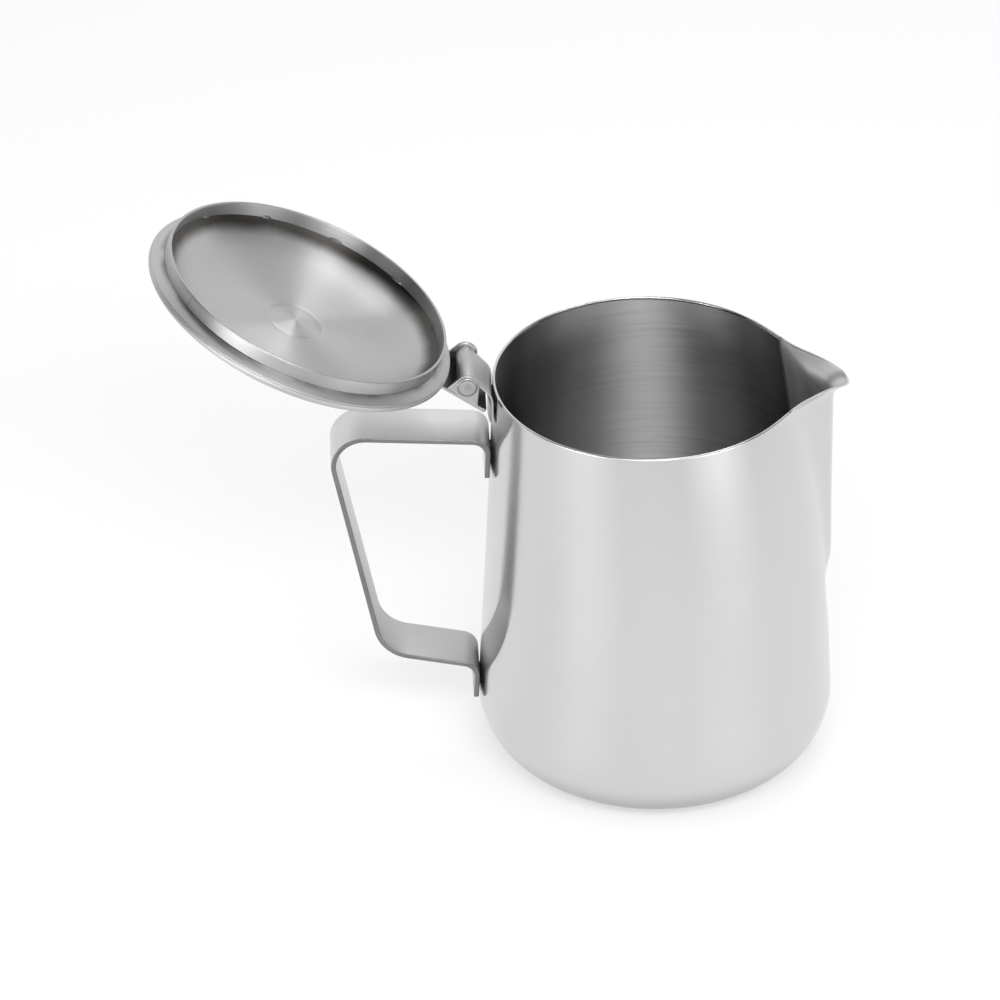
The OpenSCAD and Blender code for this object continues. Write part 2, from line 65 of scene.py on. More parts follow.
class Body(Enum):
    """The two bodies that the hinge joins."""

    JUG = "jug"
    LID = "lid"


class Slot(Enum):
    """The record's material slots."""

    POLISHED = "polished_steel"
    SATIN = "satin_steel"
    TURNED = "turned_steel"
    WELD = "weld_steel"


class Grain(Enum):
    """Which way the fine lines of a finish run."""

    ROUND = "level lines round the upright axis"
    TURNED = "circles about the piece's own axis"
    ALONG = "lines along a strip that is bent in the X and Z plane"
    ROUGH = "no direction"


# Mesh makers


def make_object(name: str, points: np.ndarray, faces: list[Face], place: Matrix | None = None,
                sharp: float = 35.0) -> bpy.types.Object:
    """Makes one smooth-shaded object.

    Args:
        name: Name of the piece.
        points: Points in millimetres, one row each.
        faces: Corner numbers of each face.
        place: Where the piece's own frame stands, in metres; the part's frame if None.
        sharp: Angle in degrees above which an edge stays crisp.

    Returns:
        The new object, linked to the scene.
    """
    mesh = bpy.data.meshes.new(name)
    mesh.from_pydata((np.asarray(points, float) * MM).tolist(), [], faces)
    work = bmesh.new()
    work.from_mesh(mesh)
    bmesh.ops.remove_doubles(work, verts=work.verts, dist=MERGE_DISTANCE)
    bmesh.ops.dissolve_degenerate(work, edges=work.edges, dist=SHORTEST_EDGE)
    bmesh.ops.recalc_face_normals(work, faces=work.faces)
    work.to_mesh(mesh)
    work.free()
    mesh.shade_smooth()
    mesh.set_sharp_from_angle(angle=math.radians(sharp))
    piece = bpy.data.objects.new(name, mesh)
    bpy.context.scene.collection.objects.link(piece)
    if place is not None:
        piece.matrix_world = place
    return piece


def ring_faces(rings: int, count: int, loop: bool = False) -> list[Face]:
    """Quads between closed rings of points that follow each other.

    Args:
        rings: How many rings there are.
        count: Points in each ring.
        loop: Whether the last ring joins the first one.

    Returns:
        Faces by corner number.
    """
    pairs = [(k, (k + 1) % rings) for k in range(rings if loop else rings - 1)]
    return [
        (a * count + i, a * count + (i + 1) % count, b * count + (i + 1) % count, b * count + i)
        for a, b in pairs
        for i in range(count)
    ]


def tube_faces(rings: int, count: int) -> list[Face]:
    """Quads between closed rings, with one face over each end."""
    last = (rings - 1) * count
    return [*ring_faces(rings, count), tuple(range(count)), tuple(range(last, last + count))]


def revolve(name: str, profile: Profile, place: Matrix, steps: int,
            sweep: tuple[float, float] | None = None, sharp: float = 40.0) -> bpy.types.Object:
    """Turns a closed profile about the upright axis.

    Args:
        name: Name of the piece.
        profile: Radius and height of each point, in millimetres.
        place: Where the axis stands.
        steps: Steps round the turn.
        sweep: First and last angle for an open ring, or None for a whole turn.
        sharp: Angle in degrees above which an edge stays crisp.

    Returns:
        The new object.
    """
    start, end = sweep or (0.0, TURN)
    angles = np.linspace(start, end, steps + 1)
    if sweep:
        faces = tube_faces(steps + 1, len(profile))
    else:
        angles = angles[:-1]
        faces = ring_faces(steps, len(profile), loop=True)
    rings = [[(r * math.cos(a), r * math.sin(a), z) for r, z in profile] for a in angles]
    return make_object(name, np.array(rings).reshape(-1, 3), faces, place, sharp)


def arc(centre: tuple[float, float], radius: float, start: float, end: float, steps: int) -> Profile:
    """Points on an arc, with angles in degrees."""
    (x, z), angles = centre, np.radians(np.linspace(start, end, steps + 1))
    return [(x + radius * math.cos(a), z + radius * math.sin(a)) for a in angles]


def along(angle: float) -> np.ndarray:
    """Unit vector in the X and Z plane at an angle in radians."""
    return np.array([math.cos(angle), math.sin(angle)])


def meeting_point(first: Station, second: Station) -> np.ndarray:
    """Finds where two lines in the X and Z plane meet.

    Args:
        first: A point of one line, and its heading.
        second: The same for the other line.

    Returns:
        The point that they share.
    """
    (p, a), (q, b) = first, second
    gap, u, v = q - p, along(a), along(b)
    return p + u * (gap[0] * v[1] - gap[1] * v[0]) / (u[0] * v[1] - u[1] * v[0])


def bent_line(path: list[np.ndarray], bends: tuple[float, ...], steps: int = 14) -> list[Station]:
    """Middle line of a strip that is bent at the inner corners of a path.

    Args:
        path: Corners in the X and Z plane.
        bends: Bend radius at each inner corner.
        steps: Steps in each bend.

    Returns:
        Points with the strip's heading at each.
    """
    def heading(p: np.ndarray, q: np.ndarray) -> float:
        """Angle of the way from p to q."""
        return math.atan2(q[1] - p[1], q[0] - p[0])

    line = [(path[0], heading(path[0], path[1]))]
    for p, q, r, bend in zip(path, path[1:], path[2:], bends):
        first = heading(p, q)
        sweep = (heading(q, r) - first + math.pi) % TURN - math.pi
        side = math.copysign(1, sweep)
        start = q - along(first) * bend * math.tan(abs(sweep) / 2)
        centre = start + side * bend * along(first + math.pi / 2)
        for i in range(steps + 1):
            angle = first + sweep * i / steps
            line.append((centre - side * bend * along(angle + math.pi / 2), angle))
    line.append((path[-1], heading(path[-2], path[-1])))
    return line


def rounded_section(half_sheet: float, half_width: float, edge: float, steps: int = 3) -> Profile:
    """Outline of a strip's cross section with rounded edges.

    Args:
        half_sheet: Half the thickness.
        half_width: Half the width.
        edge: Radius of the edges.
        steps: Steps round each edge.

    Returns:
        Offsets across the sheet and along its width.
    """
    outline: Profile = []
    for sx, sy, turn in ((1, 1, 0), (-1, 1, 90), (-1, -1, 180), (1, -1, 270)):
        outline += arc((sx * (half_sheet - edge), sy * (half_width - edge)), edge, turn, turn + 90, steps)
    return outline


def sweep_strip(name: str, line: list[Station], width: float, sheet: float, edge: float, corner: float,
                place: Matrix | None = None) -> bpy.types.Object:
    """Makes a strip with rounded edges and rounded end corners along a middle line.

    Args:
        name: Name of the piece.
        line: Points with headings, the first and last stretch straight.
        width: Width along Y.
        sheet: Thickness.
        edge: Radius of the long edges.
        corner: Radius of the corners at both ends, seen on the flat.
        place: Where the piece's frame stands.

    Returns:
        The new object.
    """
    end_steps, first_step, least_step = 8, 0.35 * edge, 0.5 * edge
    thinning, narrowing, least_edge = 0.9, 0.5, 0.05 * edge
    quarter = [corner * (1 - math.cos(math.pi / 2 * i / end_steps)) for i in range(1, end_steps + 1)]
    reach = sorted({0.0, first_step, *(max(r, least_step) for r in quarter)})

    def end_stations(p: np.ndarray, angle: float, sign: float) -> list[tuple[np.ndarray, float, float]]:
        """Stations by their distance from one end."""
        return [(p + sign * s * along(angle), angle, s) for s in reach]

    stations = end_stations(*line[0], 1.0)
    stations += [(p, a, corner + edge) for p, a in line[1:-1]]
    stations += end_stations(*line[-1], -1.0)[::-1]
    rings = []
    for p, angle, s in stations:
        pinch = edge * (1 - math.sqrt(max(0.0, 1 - (1 - min(s / edge, 1.0)) ** 2)))
        trim = corner - math.sqrt(max(0.0, corner ** 2 - max(0.0, corner - s) ** 2))
        section = rounded_section(sheet / 2 - pinch * thinning, width / 2 - trim - pinch * narrowing,
                                  max(edge - pinch * thinning, least_edge))
        normal = along(angle + math.pi / 2)
        rings.append([(p[0] + n * normal[0], y, p[1] + n * normal[1]) for n, y in section])
    faces = tube_faces(len(rings), len(rings[0]))
    return make_object(name, np.array(rings).reshape(-1, 3), faces, place, sharp=50.0)


def settle(piece: bpy.types.Object, body: Body, slot: Slot, *nodes: str) -> bpy.types.Object:
    """Rides a piece on its body and hides the solids that it stands for.

    Args:
        piece: The piece.
        body: The body that it moves with.
        slot: Not used.
        *nodes: Nodes of the solids that it replaces.

    Returns:
        The same piece.
    """
    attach(piece, body.value)
    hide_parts(*nodes)
    LOG.info("%s: %d faces on %s", piece.name, len(piece.data.polygons), body.value)
    return piece


def wear(piece: bpy.types.Object, *materials: bpy.types.Material) -> None:
    """Gives a piece its materials in order.

    Args:
        piece: The piece.
        *materials: The materials, the first one for faces that choose none.
    """
    piece.data.materials.clear()
    for material in materials:
        piece.data.materials.append(material)


# Finishes


def grey(level: float) -> Colour:
    """Colour with the same level of red, green and blue."""
    return level, level, level


class Graph:
    """Node tree of one material, with short calls to add and link nodes."""

    def __init__(self, name: str) -> None:
        """Makes the material with its plain shader.

        Args:
            name: Name of the material.
        """
        self.material = bpy.data.materials.new(name)
        self.material.use_nodes = True
        self.tree = self.material.node_tree
        self.shader = self.tree.nodes["Principled BSDF"]
        self.output = self.tree.nodes["Material Output"]

    def add(self, kind: str, **settings: object) -> bpy.types.Node:
        """Adds a node.

        Args:
            kind: Type of the node.
            **settings: Properties to set on it.

        Returns:
            The new node.
        """
        node = self.tree.nodes.new(kind)
        for key, value in settings.items():
            setattr(node, key, value)
        return node

    def put(self, value: Value, socket: Socket) -> None:
        """Links a socket, or sets it to a plain number or colour.

        Args:
            value: The socket, number or colour to put in.
            socket: The input that takes it.
        """
        if isinstance(value, Socket):
            self.tree.links.new(value, socket)
        else:
            socket.default_value = value

    def fed(self, kind: str, *values: Value, **settings: object) -> Socket:
        """Adds a node with its first inputs filled.

        Args:
            kind: Type of the node.
            *values: What goes into its inputs, in their order.
            **settings: Properties to set on it.

        Returns:
            The node's first output.
        """
        node = self.add(kind, **settings)
        for value, socket in zip(values, node.inputs):
            self.put(value, socket)
        return node.outputs[0]

    def math(self, operation: str, *values: Value) -> Socket:
        """Result of one sum."""
        return self.fed("ShaderNodeMath", *values, operation=operation)

    def noise(self, vector: Socket, scale: float, detail: float, rough: float = 0.55) -> Socket:
        """Value of a noise at a vector.

        Args:
            vector: Where the noise is read.
            scale: How fine it is.
            detail: How many finer layers it has.
            rough: Strength of the finer layers.

        Returns:
            The noise, mostly from 0.3 to 0.7.
        """
        node = self.add("ShaderNodeTexNoise")
        for key, value in (("Vector", vector), ("Scale", scale), ("Detail", detail), ("Roughness", rough)):
            self.put(value, node.inputs[key])
        return node.outputs[0]

    def span(self, value: Socket, low: float, high: float, start: float = 0.3, end: float = 0.7,
             smooth: bool = False) -> Socket:
        """Maps a value from start and end onto low and high and holds it there, eased if smooth."""
        ease = "SMOOTHSTEP" if smooth else "LINEAR"
        return self.fed("ShaderNodeMapRange", value, start, end, low, high, interpolation_type=ease)

    def mix(self, share: Socket, first: Value, second: Colour, blend: str = "MIX") -> Socket:
        """Blends two colours.

        Args:
            share: How much of the second colour there is.
            first: Socket or plain colour under it.
            second: Plain colour over it.
            blend: How the second goes over the first.

        Returns:
            The blended colour.
        """
        node = self.add("ShaderNodeMix", data_type="RGBA", blend_type=blend)
        factor, under, over = (node.inputs[i] for i in (0, 6, 7))
        self.put(share, factor)
        self.put(first if isinstance(first, Socket) else (*first, 1), under)
        self.put((*second, 1), over)
        return node.outputs[2]

    def stain(self, share: Socket, tint: Colour) -> None:
        """Multiplies the finish's colour by a tint where a share is 1."""
        colour = self.shader.inputs["Base Color"]
        self.put(self.mix(share, colour.links[0].from_socket, tint, "MULTIPLY"), colour)

    def place(self) -> Socket:
        """Place on the piece, in its own frame and in metres."""
        return self.add("ShaderNodeTexCoord").outputs["Object"]

    def axes(self) -> tuple[Socket, ...]:
        """That place's X, Y and Z."""
        split = self.fed("ShaderNodeSeparateXYZ", self.place()).node
        return tuple(split.outputs)

    def off_axis(self) -> Socket:
        """Distance from the piece's own upright axis, in metres."""
        x, y, _ = self.axes()
        return self.math("SQRT", self.math("ADD", self.math("MULTIPLY", x, x), self.math("MULTIPLY", y, y)))


@dataclass(frozen=True)
class Steel:
    """One steel finish: its tone, its gloss and the marks that its making left, in millimetres."""

    name: str
    tone: float
    tone_change: float
    roughness: float
    roughness_change: float
    grain: Grain
    line_pitch: float
    line_length: float
    relief: float
    anisotropy: float = 0.0
    smudge: float = 0.02
    warmth: float = 0.004
    line_detail: float = 4.0
    line_rough: float = 0.6
    cloud_scale: float = 26.0
    cloud_detail: float = 3.0
    line_share: float = 0.7
    smudge_range: tuple[float, float] = (0.45, 0.75)
    climb: float = 0.5
    across_lines: float = 0.25

    def lines(self, graph: Graph) -> Socket:
        """Coordinates that are fine across the finish's lines and slow along them.

        Args:
            graph: The material's node tree.

        Returns:
            A vector whose unit is one line.
        """
        x, y, z = graph.axes()
        fine = 1 / (self.line_pitch * MM)
        slow = 1 / (self.line_length * MM)
        if self.grain is Grain.ALONG:
            parts = ((x, slow), (y, fine), (z, slow))
        elif self.grain is Grain.ROUGH:
            parts = ((x, fine), (y, fine), (z, fine))
        else:
            rise = z if self.grain is Grain.ROUND else graph.math("MULTIPLY", z, self.climb)
            parts = ((x, slow), (y, slow), (graph.math("ADD", graph.off_axis(), rise), fine))
        return graph.fed("ShaderNodeCombineXYZ", *(graph.math("MULTIPLY", *part) for part in parts))

    def graph(self) -> Graph:
        """Builds the finish.

        Returns:
            The node tree, so that a piece can add marks of its own.
        """
        graph = Graph(self.name)
        shader = graph.shader.inputs
        streak = graph.noise(self.lines(graph), 1.0, self.line_detail, self.line_rough)
        cloud = graph.noise(graph.place(), self.cloud_scale, self.cloud_detail)
        blend = graph.math("ADD", graph.math("MULTIPLY", streak, self.line_share),
                           graph.math("MULTIPLY", cloud, 1 - self.line_share))
        low, high = self.tone - self.tone_change, self.tone + self.tone_change
        dark, light = (low + self.warmth, low, low - self.warmth), (high, high, high + self.warmth)
        graph.put(graph.mix(graph.span(blend, 0.0, 1.0), dark, light), shader["Base Color"])
        rough, change = self.roughness, self.roughness_change
        dull = graph.span(streak, rough - change, rough + change)
        smudges = graph.span(cloud, 0.0, self.smudge, *self.smudge_range)
        graph.put(graph.math("ADD", dull, smudges), shader["Roughness"])
        shader["Metallic"].default_value = 1.0
        bump = graph.add("ShaderNodeBump")
        bump.inputs["Strength"].default_value = 1.0
        bump.inputs["Distance"].default_value = self.relief * MM
        graph.put(streak, bump.inputs["Height"])
        graph.put(bump.outputs[0], shader["Normal"])
        if self.anisotropy:
            shader["Anisotropic"].default_value = self.anisotropy
            shader["Anisotropic Rotation"].default_value = self.across_lines
            tangent = graph.add("ShaderNodeTangent", direction_type="RADIAL", axis="Z")
            graph.put(tangent.outputs[0], shader["Tangent"])
        return graph

    def material(self) -> bpy.types.Material:
        """The finished material with no marks of a piece's own."""
        return self.graph().material


# Each has its tone and roughness, with the change in each, then its grain's pitch, length and relief
MIRROR = Steel("mirror_polish", 0.625, 0.006, 0.155, 0.006, Grain.ROUND, 0.5, 160.0, 0.00003, anisotropy=1.0)
BORE = Steel("brushed_inside", 0.47, 0.08, 0.54, 0.06, Grain.ROUND, 0.7, 40.0, 0.003, anisotropy=0.96)
LIP = Steel("buffed_lip", 0.68, 0.02, 0.48, 0.04, Grain.ROUND, 0.5, 30.0, 0.0004)
STRAP = Steel("satin_strap", 0.72, 0.02, 0.45, 0.04, Grain.ALONG, 0.35, 30.0, 0.001)
CUT_EDGE = Steel("cut_edge", 0.23, 0.04, 0.42, 0.05, Grain.ALONG, 0.3, 12.0, 0.002)
HINGE = Steel("satin_hinge", 0.46, 0.02, 0.36, 0.04, Grain.ALONG, 0.3, 20.0, 0.001)
PIN = Steel("pin_head", 0.44, 0.05, 0.46, 0.06, Grain.TURNED, 0.5, 4.0, 0.004)
TURNED = Steel("turned_lid", 0.52, 0.03, 0.36, 0.04, Grain.TURNED, 0.4, 40.0, 0.0008, anisotropy=0.9)
RIM = Steel("rolled_rim", 0.54, 0.04, 0.50, 0.06, Grain.TURNED, 0.35, 25.0, 0.0012, anisotropy=0.6)
SKIRT = Steel("brushed_skirt", 0.46, 0.03, 0.36, 0.04, Grain.ROUND, 0.4, 40.0, 0.0008, anisotropy=0.85)
LID_TOP = Steel("polished_lid", 0.68, 0.01, 0.14, 0.02, Grain.TURNED, 0.5, 60.0, 0.0002)
KNOB = Steel("turned_knob", 0.66, 0.02, 0.12, 0.03, Grain.ROUND, 0.35, 30.0, 0.0003)
WELD = Steel("weld_metal", 0.16, 0.06, 0.55, 0.10, Grain.ROUGH, 0.7, 0.7, 0.03, warmth=0.01)


# Sub-assemblies


@dataclass
class JugShell:
    """The drawn body: a round tapered shell whose mouth is pulled into a spout."""

    # Wall and base
    height: float = 132.0
    belly_radius: float = 54.6
    rim_inset: float = 5.0
    corner_width: float = 20.0
    corner_height: float = 21.0
    sheet: float = 0.9
    # Mouth and spout
    mouth_shift: float = 3.3
    mouth_pinch: float = 2.6
    egg_power: float = 2.0
    throat_out: float = 4.2
    spout_depth: float = 72.0
    lip_flare: float = 5.5
    lip_depth: float = 9.0
    lip_power: float = 3.0
    tip_drop: float = 2.6
    tip_angle: float = 6.0
    nose_radius: float = 6.5
    flank_angle: float = 41.6
    least_cosine: float = 0.05
    crease: float = 4.0
    toe_length: float = 9.0
    toe_fall: float = 3.4
    # Shallow dent under the spout's toe
    dent_depth: float = 0.9
    dent_angle: float = 7.0
    dent_height: float = 9.0
    dent_drop: float = 1.5
    # Steps of the mesh
    spout_half: float = 42.0
    spout_step: float = 0.75
    plain_step: float = 2.4
    base_shares: tuple[float, ...] = (0.0, 0.35, 0.7, 0.93)
    corner_steps: int = 18
    wall_steps: tuple[int, ...] = (8, 24, 18, 20)
    rim_steps: int = 6
    # Painted shade at the foot and at the bore's ends, the spout's fade, and which faces take which finish
    foot_shade_height: float = 16.0
    foot_painted_shade: float = 0.42
    end_shade_range: tuple[float, float] = (0.62, 0.9)
    end_painted_shade: float = 0.19
    channel_angle: float = 29.0
    channel_fade: float = 2.5
    channel_tint: float = 0.35
    floor_layer: float = 1.5
    floor_tilt: float = 0.5
    corner_tilt: float = 0.05
    edge_tilt: float = 0.3

    @property
    def rim_radius(self) -> float:
        """Radius that the plain wall would have at the rim."""
        return self.belly_radius - self.rim_inset

    @property
    def mouth_radius(self) -> float:
        """Radius of the round mouth."""
        return self.rim_radius - self.mouth_pinch

    @property
    def toe_end(self) -> float:
        """Height at which the spout fades into the wall."""
        return self.height - self.spout_depth

    @property
    def lip_start(self) -> float:
        """Height at which the lip starts to flare."""
        return self.height - self.lip_depth

    @property
    def flank_normal(self) -> float:
        """Bearing at which the spout's flank faces, in radians."""
        return math.radians(90 - self.flank_angle)

    def taper_radius(self, z: float) -> float:
        """Radius of the plain wall at a height."""
        share = (z - self.corner_height) / (self.height - self.corner_height)
        return self.belly_radius - self.rim_inset * share

    def round_radius(self, bearing: np.ndarray, z: float) -> np.ndarray:
        """Radius of the shifted, pinched round wall.

        Args:
            bearing: Bearings from the spout, in radians.
            z: Height above the base.

        Returns:
            One radius for each bearing.
        """
        pull = (max(z - self.toe_end, 0.0) / self.spout_depth) ** self.egg_power
        shift, size = self.mouth_shift * pull, self.taper_radius(z) - self.mouth_pinch * pull
        return np.sqrt(size ** 2 - (shift * np.sin(bearing)) ** 2) - shift * np.cos(bearing)

    def nose_reach(self, z: float) -> float:
        """Reach of the spout's nose: toe, upright throat, flared lip.

        Args:
            z: Height above the base.

        Returns:
            Distance of the nose from the jug's axis.
        """
        throat = self.rim_radius + self.throat_out
        toe_top = self.toe_end + self.toe_length
        if z > self.lip_start:
            return throat + self.lip_flare * ((z - self.lip_start) / self.lip_depth) ** self.lip_power
        if z > toe_top:
            return throat
        return throat - self.toe_fall * ((toe_top - z) / self.toe_length) ** 2

    def wedge_radius(self, off: np.ndarray, reach: float) -> np.ndarray:
        """Radius of the round-nosed wedge that forms the spout.

        Args:
            off: Bearings off the spout's middle, in radians, none negative.
            reach: Reach of the wedge's nose.

        Returns:
            One radius for each bearing.
        """
        normal, size = self.flank_normal, self.nose_radius
        centre = reach - size
        tangent = math.atan2(size * math.sin(normal), centre + size * math.cos(normal))
        half_chord = np.sqrt(np.maximum(size ** 2 - (centre * np.sin(off)) ** 2, 0.0))
        nose = centre * np.cos(off) + half_chord
        flank = centre * math.cos(normal) + size
        return np.where(off < tangent, nose, flank / np.maximum(np.cos(off - normal), self.least_cosine))

    def wall_radius(self, bearing: np.ndarray, z: float) -> np.ndarray:
        """Outer radius of the wall at bearings and one height.

        Args:
            bearing: Bearings from the spout, in radians from -pi to pi.
            z: Height above the base.

        Returns:
            One radius for each bearing.
        """
        plain, off = self.round_radius(bearing, z), np.abs(bearing)
        if z > self.toe_end:
            wedge = self.wedge_radius(off, self.nose_reach(z))
            fillet = np.maximum(self.crease - np.abs(plain - wedge), 0.0) ** 2 / (4 * self.crease)
            plain = np.where(off < self.flank_normal, np.maximum(plain, wedge) + fillet, plain)
        aside = np.degrees(off) / self.dent_angle
        above = (z - self.toe_end + self.dent_drop) / self.dent_height
        return plain - self.dent_depth * np.exp(-aside ** 2 - above ** 2)

    def wall_x(self, z: float) -> float:
        """Place of the wall's outer face on the handle's side."""
        return -float(self.wall_radius(np.array([math.pi]), z)[0])

    def lip_drop(self, bearing: np.ndarray, z: float) -> np.ndarray:
        """Drop of the lip's edge toward the tip."""
        share = max(z - self.lip_start, 0.0) / self.lip_depth
        return self.tip_drop * np.exp(-(np.degrees(np.abs(bearing)) / self.tip_angle) ** 2) * share ** 2

    def bearings(self) -> np.ndarray:
        """Bearings round the body, closer together at the spout.

        Returns:
            Radians from -pi to pi.
        """
        half, step = self.spout_half, self.plain_step
        spout = np.radians(np.arange(-half, half + self.spout_step / 2, self.spout_step))
        rest = np.radians(np.arange(half + step, 360.0 - half - step / 2, step))
        return np.concatenate([spout, np.where(rest > math.pi, rest - TURN, rest)])

    def heights(self) -> np.ndarray:
        """Heights up the wall, closer together where it bends.

        Returns:
            Heights from above the base's corner to below the rim.
        """
        toe_low, toe_high = self.toe_end - self.toe_length, self.toe_end + self.toe_length
        stops = (self.corner_height, toe_low, toe_high, self.lip_start, self.height - self.sheet / 2)
        stretches = zip(stops, stops[1:], self.wall_steps)
        return np.concatenate([np.linspace(low, high, steps + 1)[1:] for low, high, steps in stretches])

    @staticmethod
    def ring(bearing: np.ndarray, radius: np.ndarray | float, z: np.ndarray | float) -> np.ndarray:
        """One ring of points."""
        return np.stack(np.broadcast_arrays(radius * np.cos(bearing), radius * np.sin(bearing), z), 1)

    def wall_ring(self, bearing: np.ndarray, z: float, inset: float) -> np.ndarray:
        """One ring of points on the wall."""
        return self.ring(bearing, self.wall_radius(bearing, z) - inset, z - self.lip_drop(bearing, z))

    def face_rings(self, inset: float) -> list[np.ndarray]:
        """Rings of one face of the sheet, from the base's middle to below the rim.

        Args:
            inset: How far the face lies in from the outer one.

        Returns:
            Rings of points.
        """
        bearing = self.bearings()
        flat = self.belly_radius - self.corner_width
        rings = [self.ring(bearing, flat * share, inset) for share in self.base_shares]
        for angle in np.linspace(math.pi / 2, 0, self.corner_steps + 1):
            r = flat + (self.corner_width - inset) * math.cos(angle)
            z = self.corner_height - (self.corner_height - inset) * math.sin(angle)
            rings.append(self.ring(bearing, r, z))
        return rings + [self.wall_ring(bearing, z, inset) for z in self.heights()]

    def build(self) -> bpy.types.Object:
        """Makes the shell with a rounded rim.

        Returns:
            The body.
        """
        bearing = self.bearings()
        half = self.sheet / 2
        rim = []
        for i in range(1, self.rim_steps):
            angle = math.pi * i / self.rim_steps
            ring = self.wall_ring(bearing, self.height - half, half * (1 - math.cos(angle)))
            ring[:, 2] += half * math.sin(angle)
            rim.append(ring)
        rings = self.face_rings(0.0) + rim + self.face_rings(self.sheet)[::-1]
        faces = ring_faces(len(rings), len(bearing))
        piece = make_object("jug_shell", np.concatenate(rings), faces, sharp=60.0)
        return settle(piece, Body.JUG, Slot.POLISHED, "jug_body")

    def shade_foot(self) -> bpy.types.Material:
        """The mirror polish, darkened round the foot with painted shade of the contact shadow that it
        reflects.

        Returns:
            The outside's material.
        """
        graph = MIRROR.graph()
        _, _, z = graph.axes()
        # Painted shade: the polish darkens toward the base, standing in for the reflected contact shadow
        share = graph.span(z, 1.0, 0.0, 0.0, self.foot_shade_height * MM, smooth=True)
        graph.stain(share, grey(self.foot_painted_shade))
        return graph.material

    def shade_bore_ends(self) -> bpy.types.Material:
        """The brushed inside, darkened toward the handle and the spout with painted shade.

        Returns:
            The inside's material.
        """
        graph = BORE.graph()
        x, _, z = graph.axes()
        bearing = graph.math("DIVIDE", graph.math("ABSOLUTE", x), graph.off_axis())
        wall = graph.span(z, 0.0, 1.0, 0.0, self.corner_height * MM, smooth=True)
        # Painted shade: the inside wall darkens toward its ends at the handle and the spout
        ends = graph.span(bearing, 0.0, 1.0, *self.end_shade_range, smooth=True)
        graph.stain(graph.math("MULTIPLY", ends, wall), grey(self.end_painted_shade))
        return graph.material

    def buffed_spout(self) -> bpy.types.Material:
        """The buffed lip, fading into the darker brushing at both sides of the spout.

        Returns:
            The material of the spout's inside and edge.
        """
        graph = LIP.graph()
        x, y, _ = graph.axes()
        aside = graph.math("DIVIDE", graph.math("ABSOLUTE", y), x)
        start, end = (math.tan(math.radians(self.channel_angle - fade)) for fade in (self.channel_fade, 0.0))
        graph.stain(graph.span(aside, 0.0, 1.0, start, end, smooth=True), grey(self.channel_tint))
        return graph.material

    def dress(self, piece: bpy.types.Object) -> None:
        """Polishes the outside, brushes the inside and buffs the inside of the spout.

        Args:
            piece: The body.
        """
        wear(piece, self.shade_foot(), self.shade_bore_ends(), self.buffed_spout())
        for polygon in piece.data.polygons:
            (x, y, z), normal = polygon.center / MM, polygon.normal
            wall = x * normal.x + y * normal.y < 0 and z < self.height - self.sheet
            floor = z < self.sheet * self.floor_layer and normal.z > self.floor_tilt
            corner = z < self.corner_height and normal.z > self.corner_tilt
            edge = z > self.lip_start and normal.z > self.edge_tilt
            inside = wall or floor or corner
            channel = abs(math.degrees(math.atan2(y, x))) < self.channel_angle and z > self.toe_end
            polygon.material_index = 2 if channel and (inside or edge) else int(inside)


@dataclass
class StrapHandle:
    """The handle: one strap bent to shape, with a tab at each end."""

    shell: JugShell
    width: float = 18.0
    sheet: float = 1.6
    edge: float = 0.4
    corner: float = 1.6
    weld_gap: float = 0.25
    arm_depth: float = 17.3
    upper_tab: float = 13.2
    lower_tab: float = 12.0
    upper_out: float = 46.9
    lower_out: float = 29.9
    upper_rise: float = 2.4
    lower_rise: float = 5.7
    bends: tuple[float, ...] = (4.8, 9.5, 12.2, 4.8)
    foot_painted_shade: float = 0.69
    side_tilt: float = 0.6

    @property
    def arm_z(self) -> float:
        """Height of the upper arm's root."""
        return self.shell.height - self.arm_depth

    @property
    def lower_arm_z(self) -> float:
        """Height of the lower arm's root."""
        return self.shell.corner_height + self.lower_tab

    def on_wall(self, z: float) -> np.ndarray:
        """Point of the strap's middle line where it lies on the wall."""
        return np.array([self.shell.wall_x(z) - self.weld_gap - self.sheet / 2, z])

    def build(self) -> bpy.types.Object:
        """Bends the strap.

        Returns:
            The handle.
        """
        belly = self.shell.belly_radius
        path = [
            self.on_wall(self.arm_z - self.upper_tab),
            self.on_wall(self.arm_z),
            np.array([-belly - self.upper_out, self.arm_z + self.upper_rise]),
            np.array([-belly - self.lower_out, self.lower_arm_z + self.lower_rise]),
            self.on_wall(self.lower_arm_z),
            self.on_wall(self.shell.corner_height),
        ]
        line = bent_line(path, self.bends)
        piece = sweep_strip("strap_handle", line, self.width, self.sheet, self.edge, self.corner)
        return settle(piece, Body.JUG, Slot.SATIN, "handle")

    def dress(self, piece: bpy.types.Object) -> None:
        """Brushes the strap along its length, darkens it toward its foot with painted shade, and leaves its
        cut edges plain.

        Args:
            piece: The handle.
        """
        graph = STRAP.graph()
        _, _, z = graph.axes()
        # Painted shade: the strap darkens toward its foot so that its lower arm is no brighter than the
        # upper arm under the lid
        share = graph.span(z, 1.0, 0.0, self.lower_arm_z * MM, self.arm_z * MM, smooth=True)
        graph.stain(share, grey(self.foot_painted_shade))
        wear(piece, graph.material, CUT_EDGE.material())
        for polygon in piece.data.polygons:
            polygon.material_index = int(abs(polygon.normal.y) > self.side_tilt)


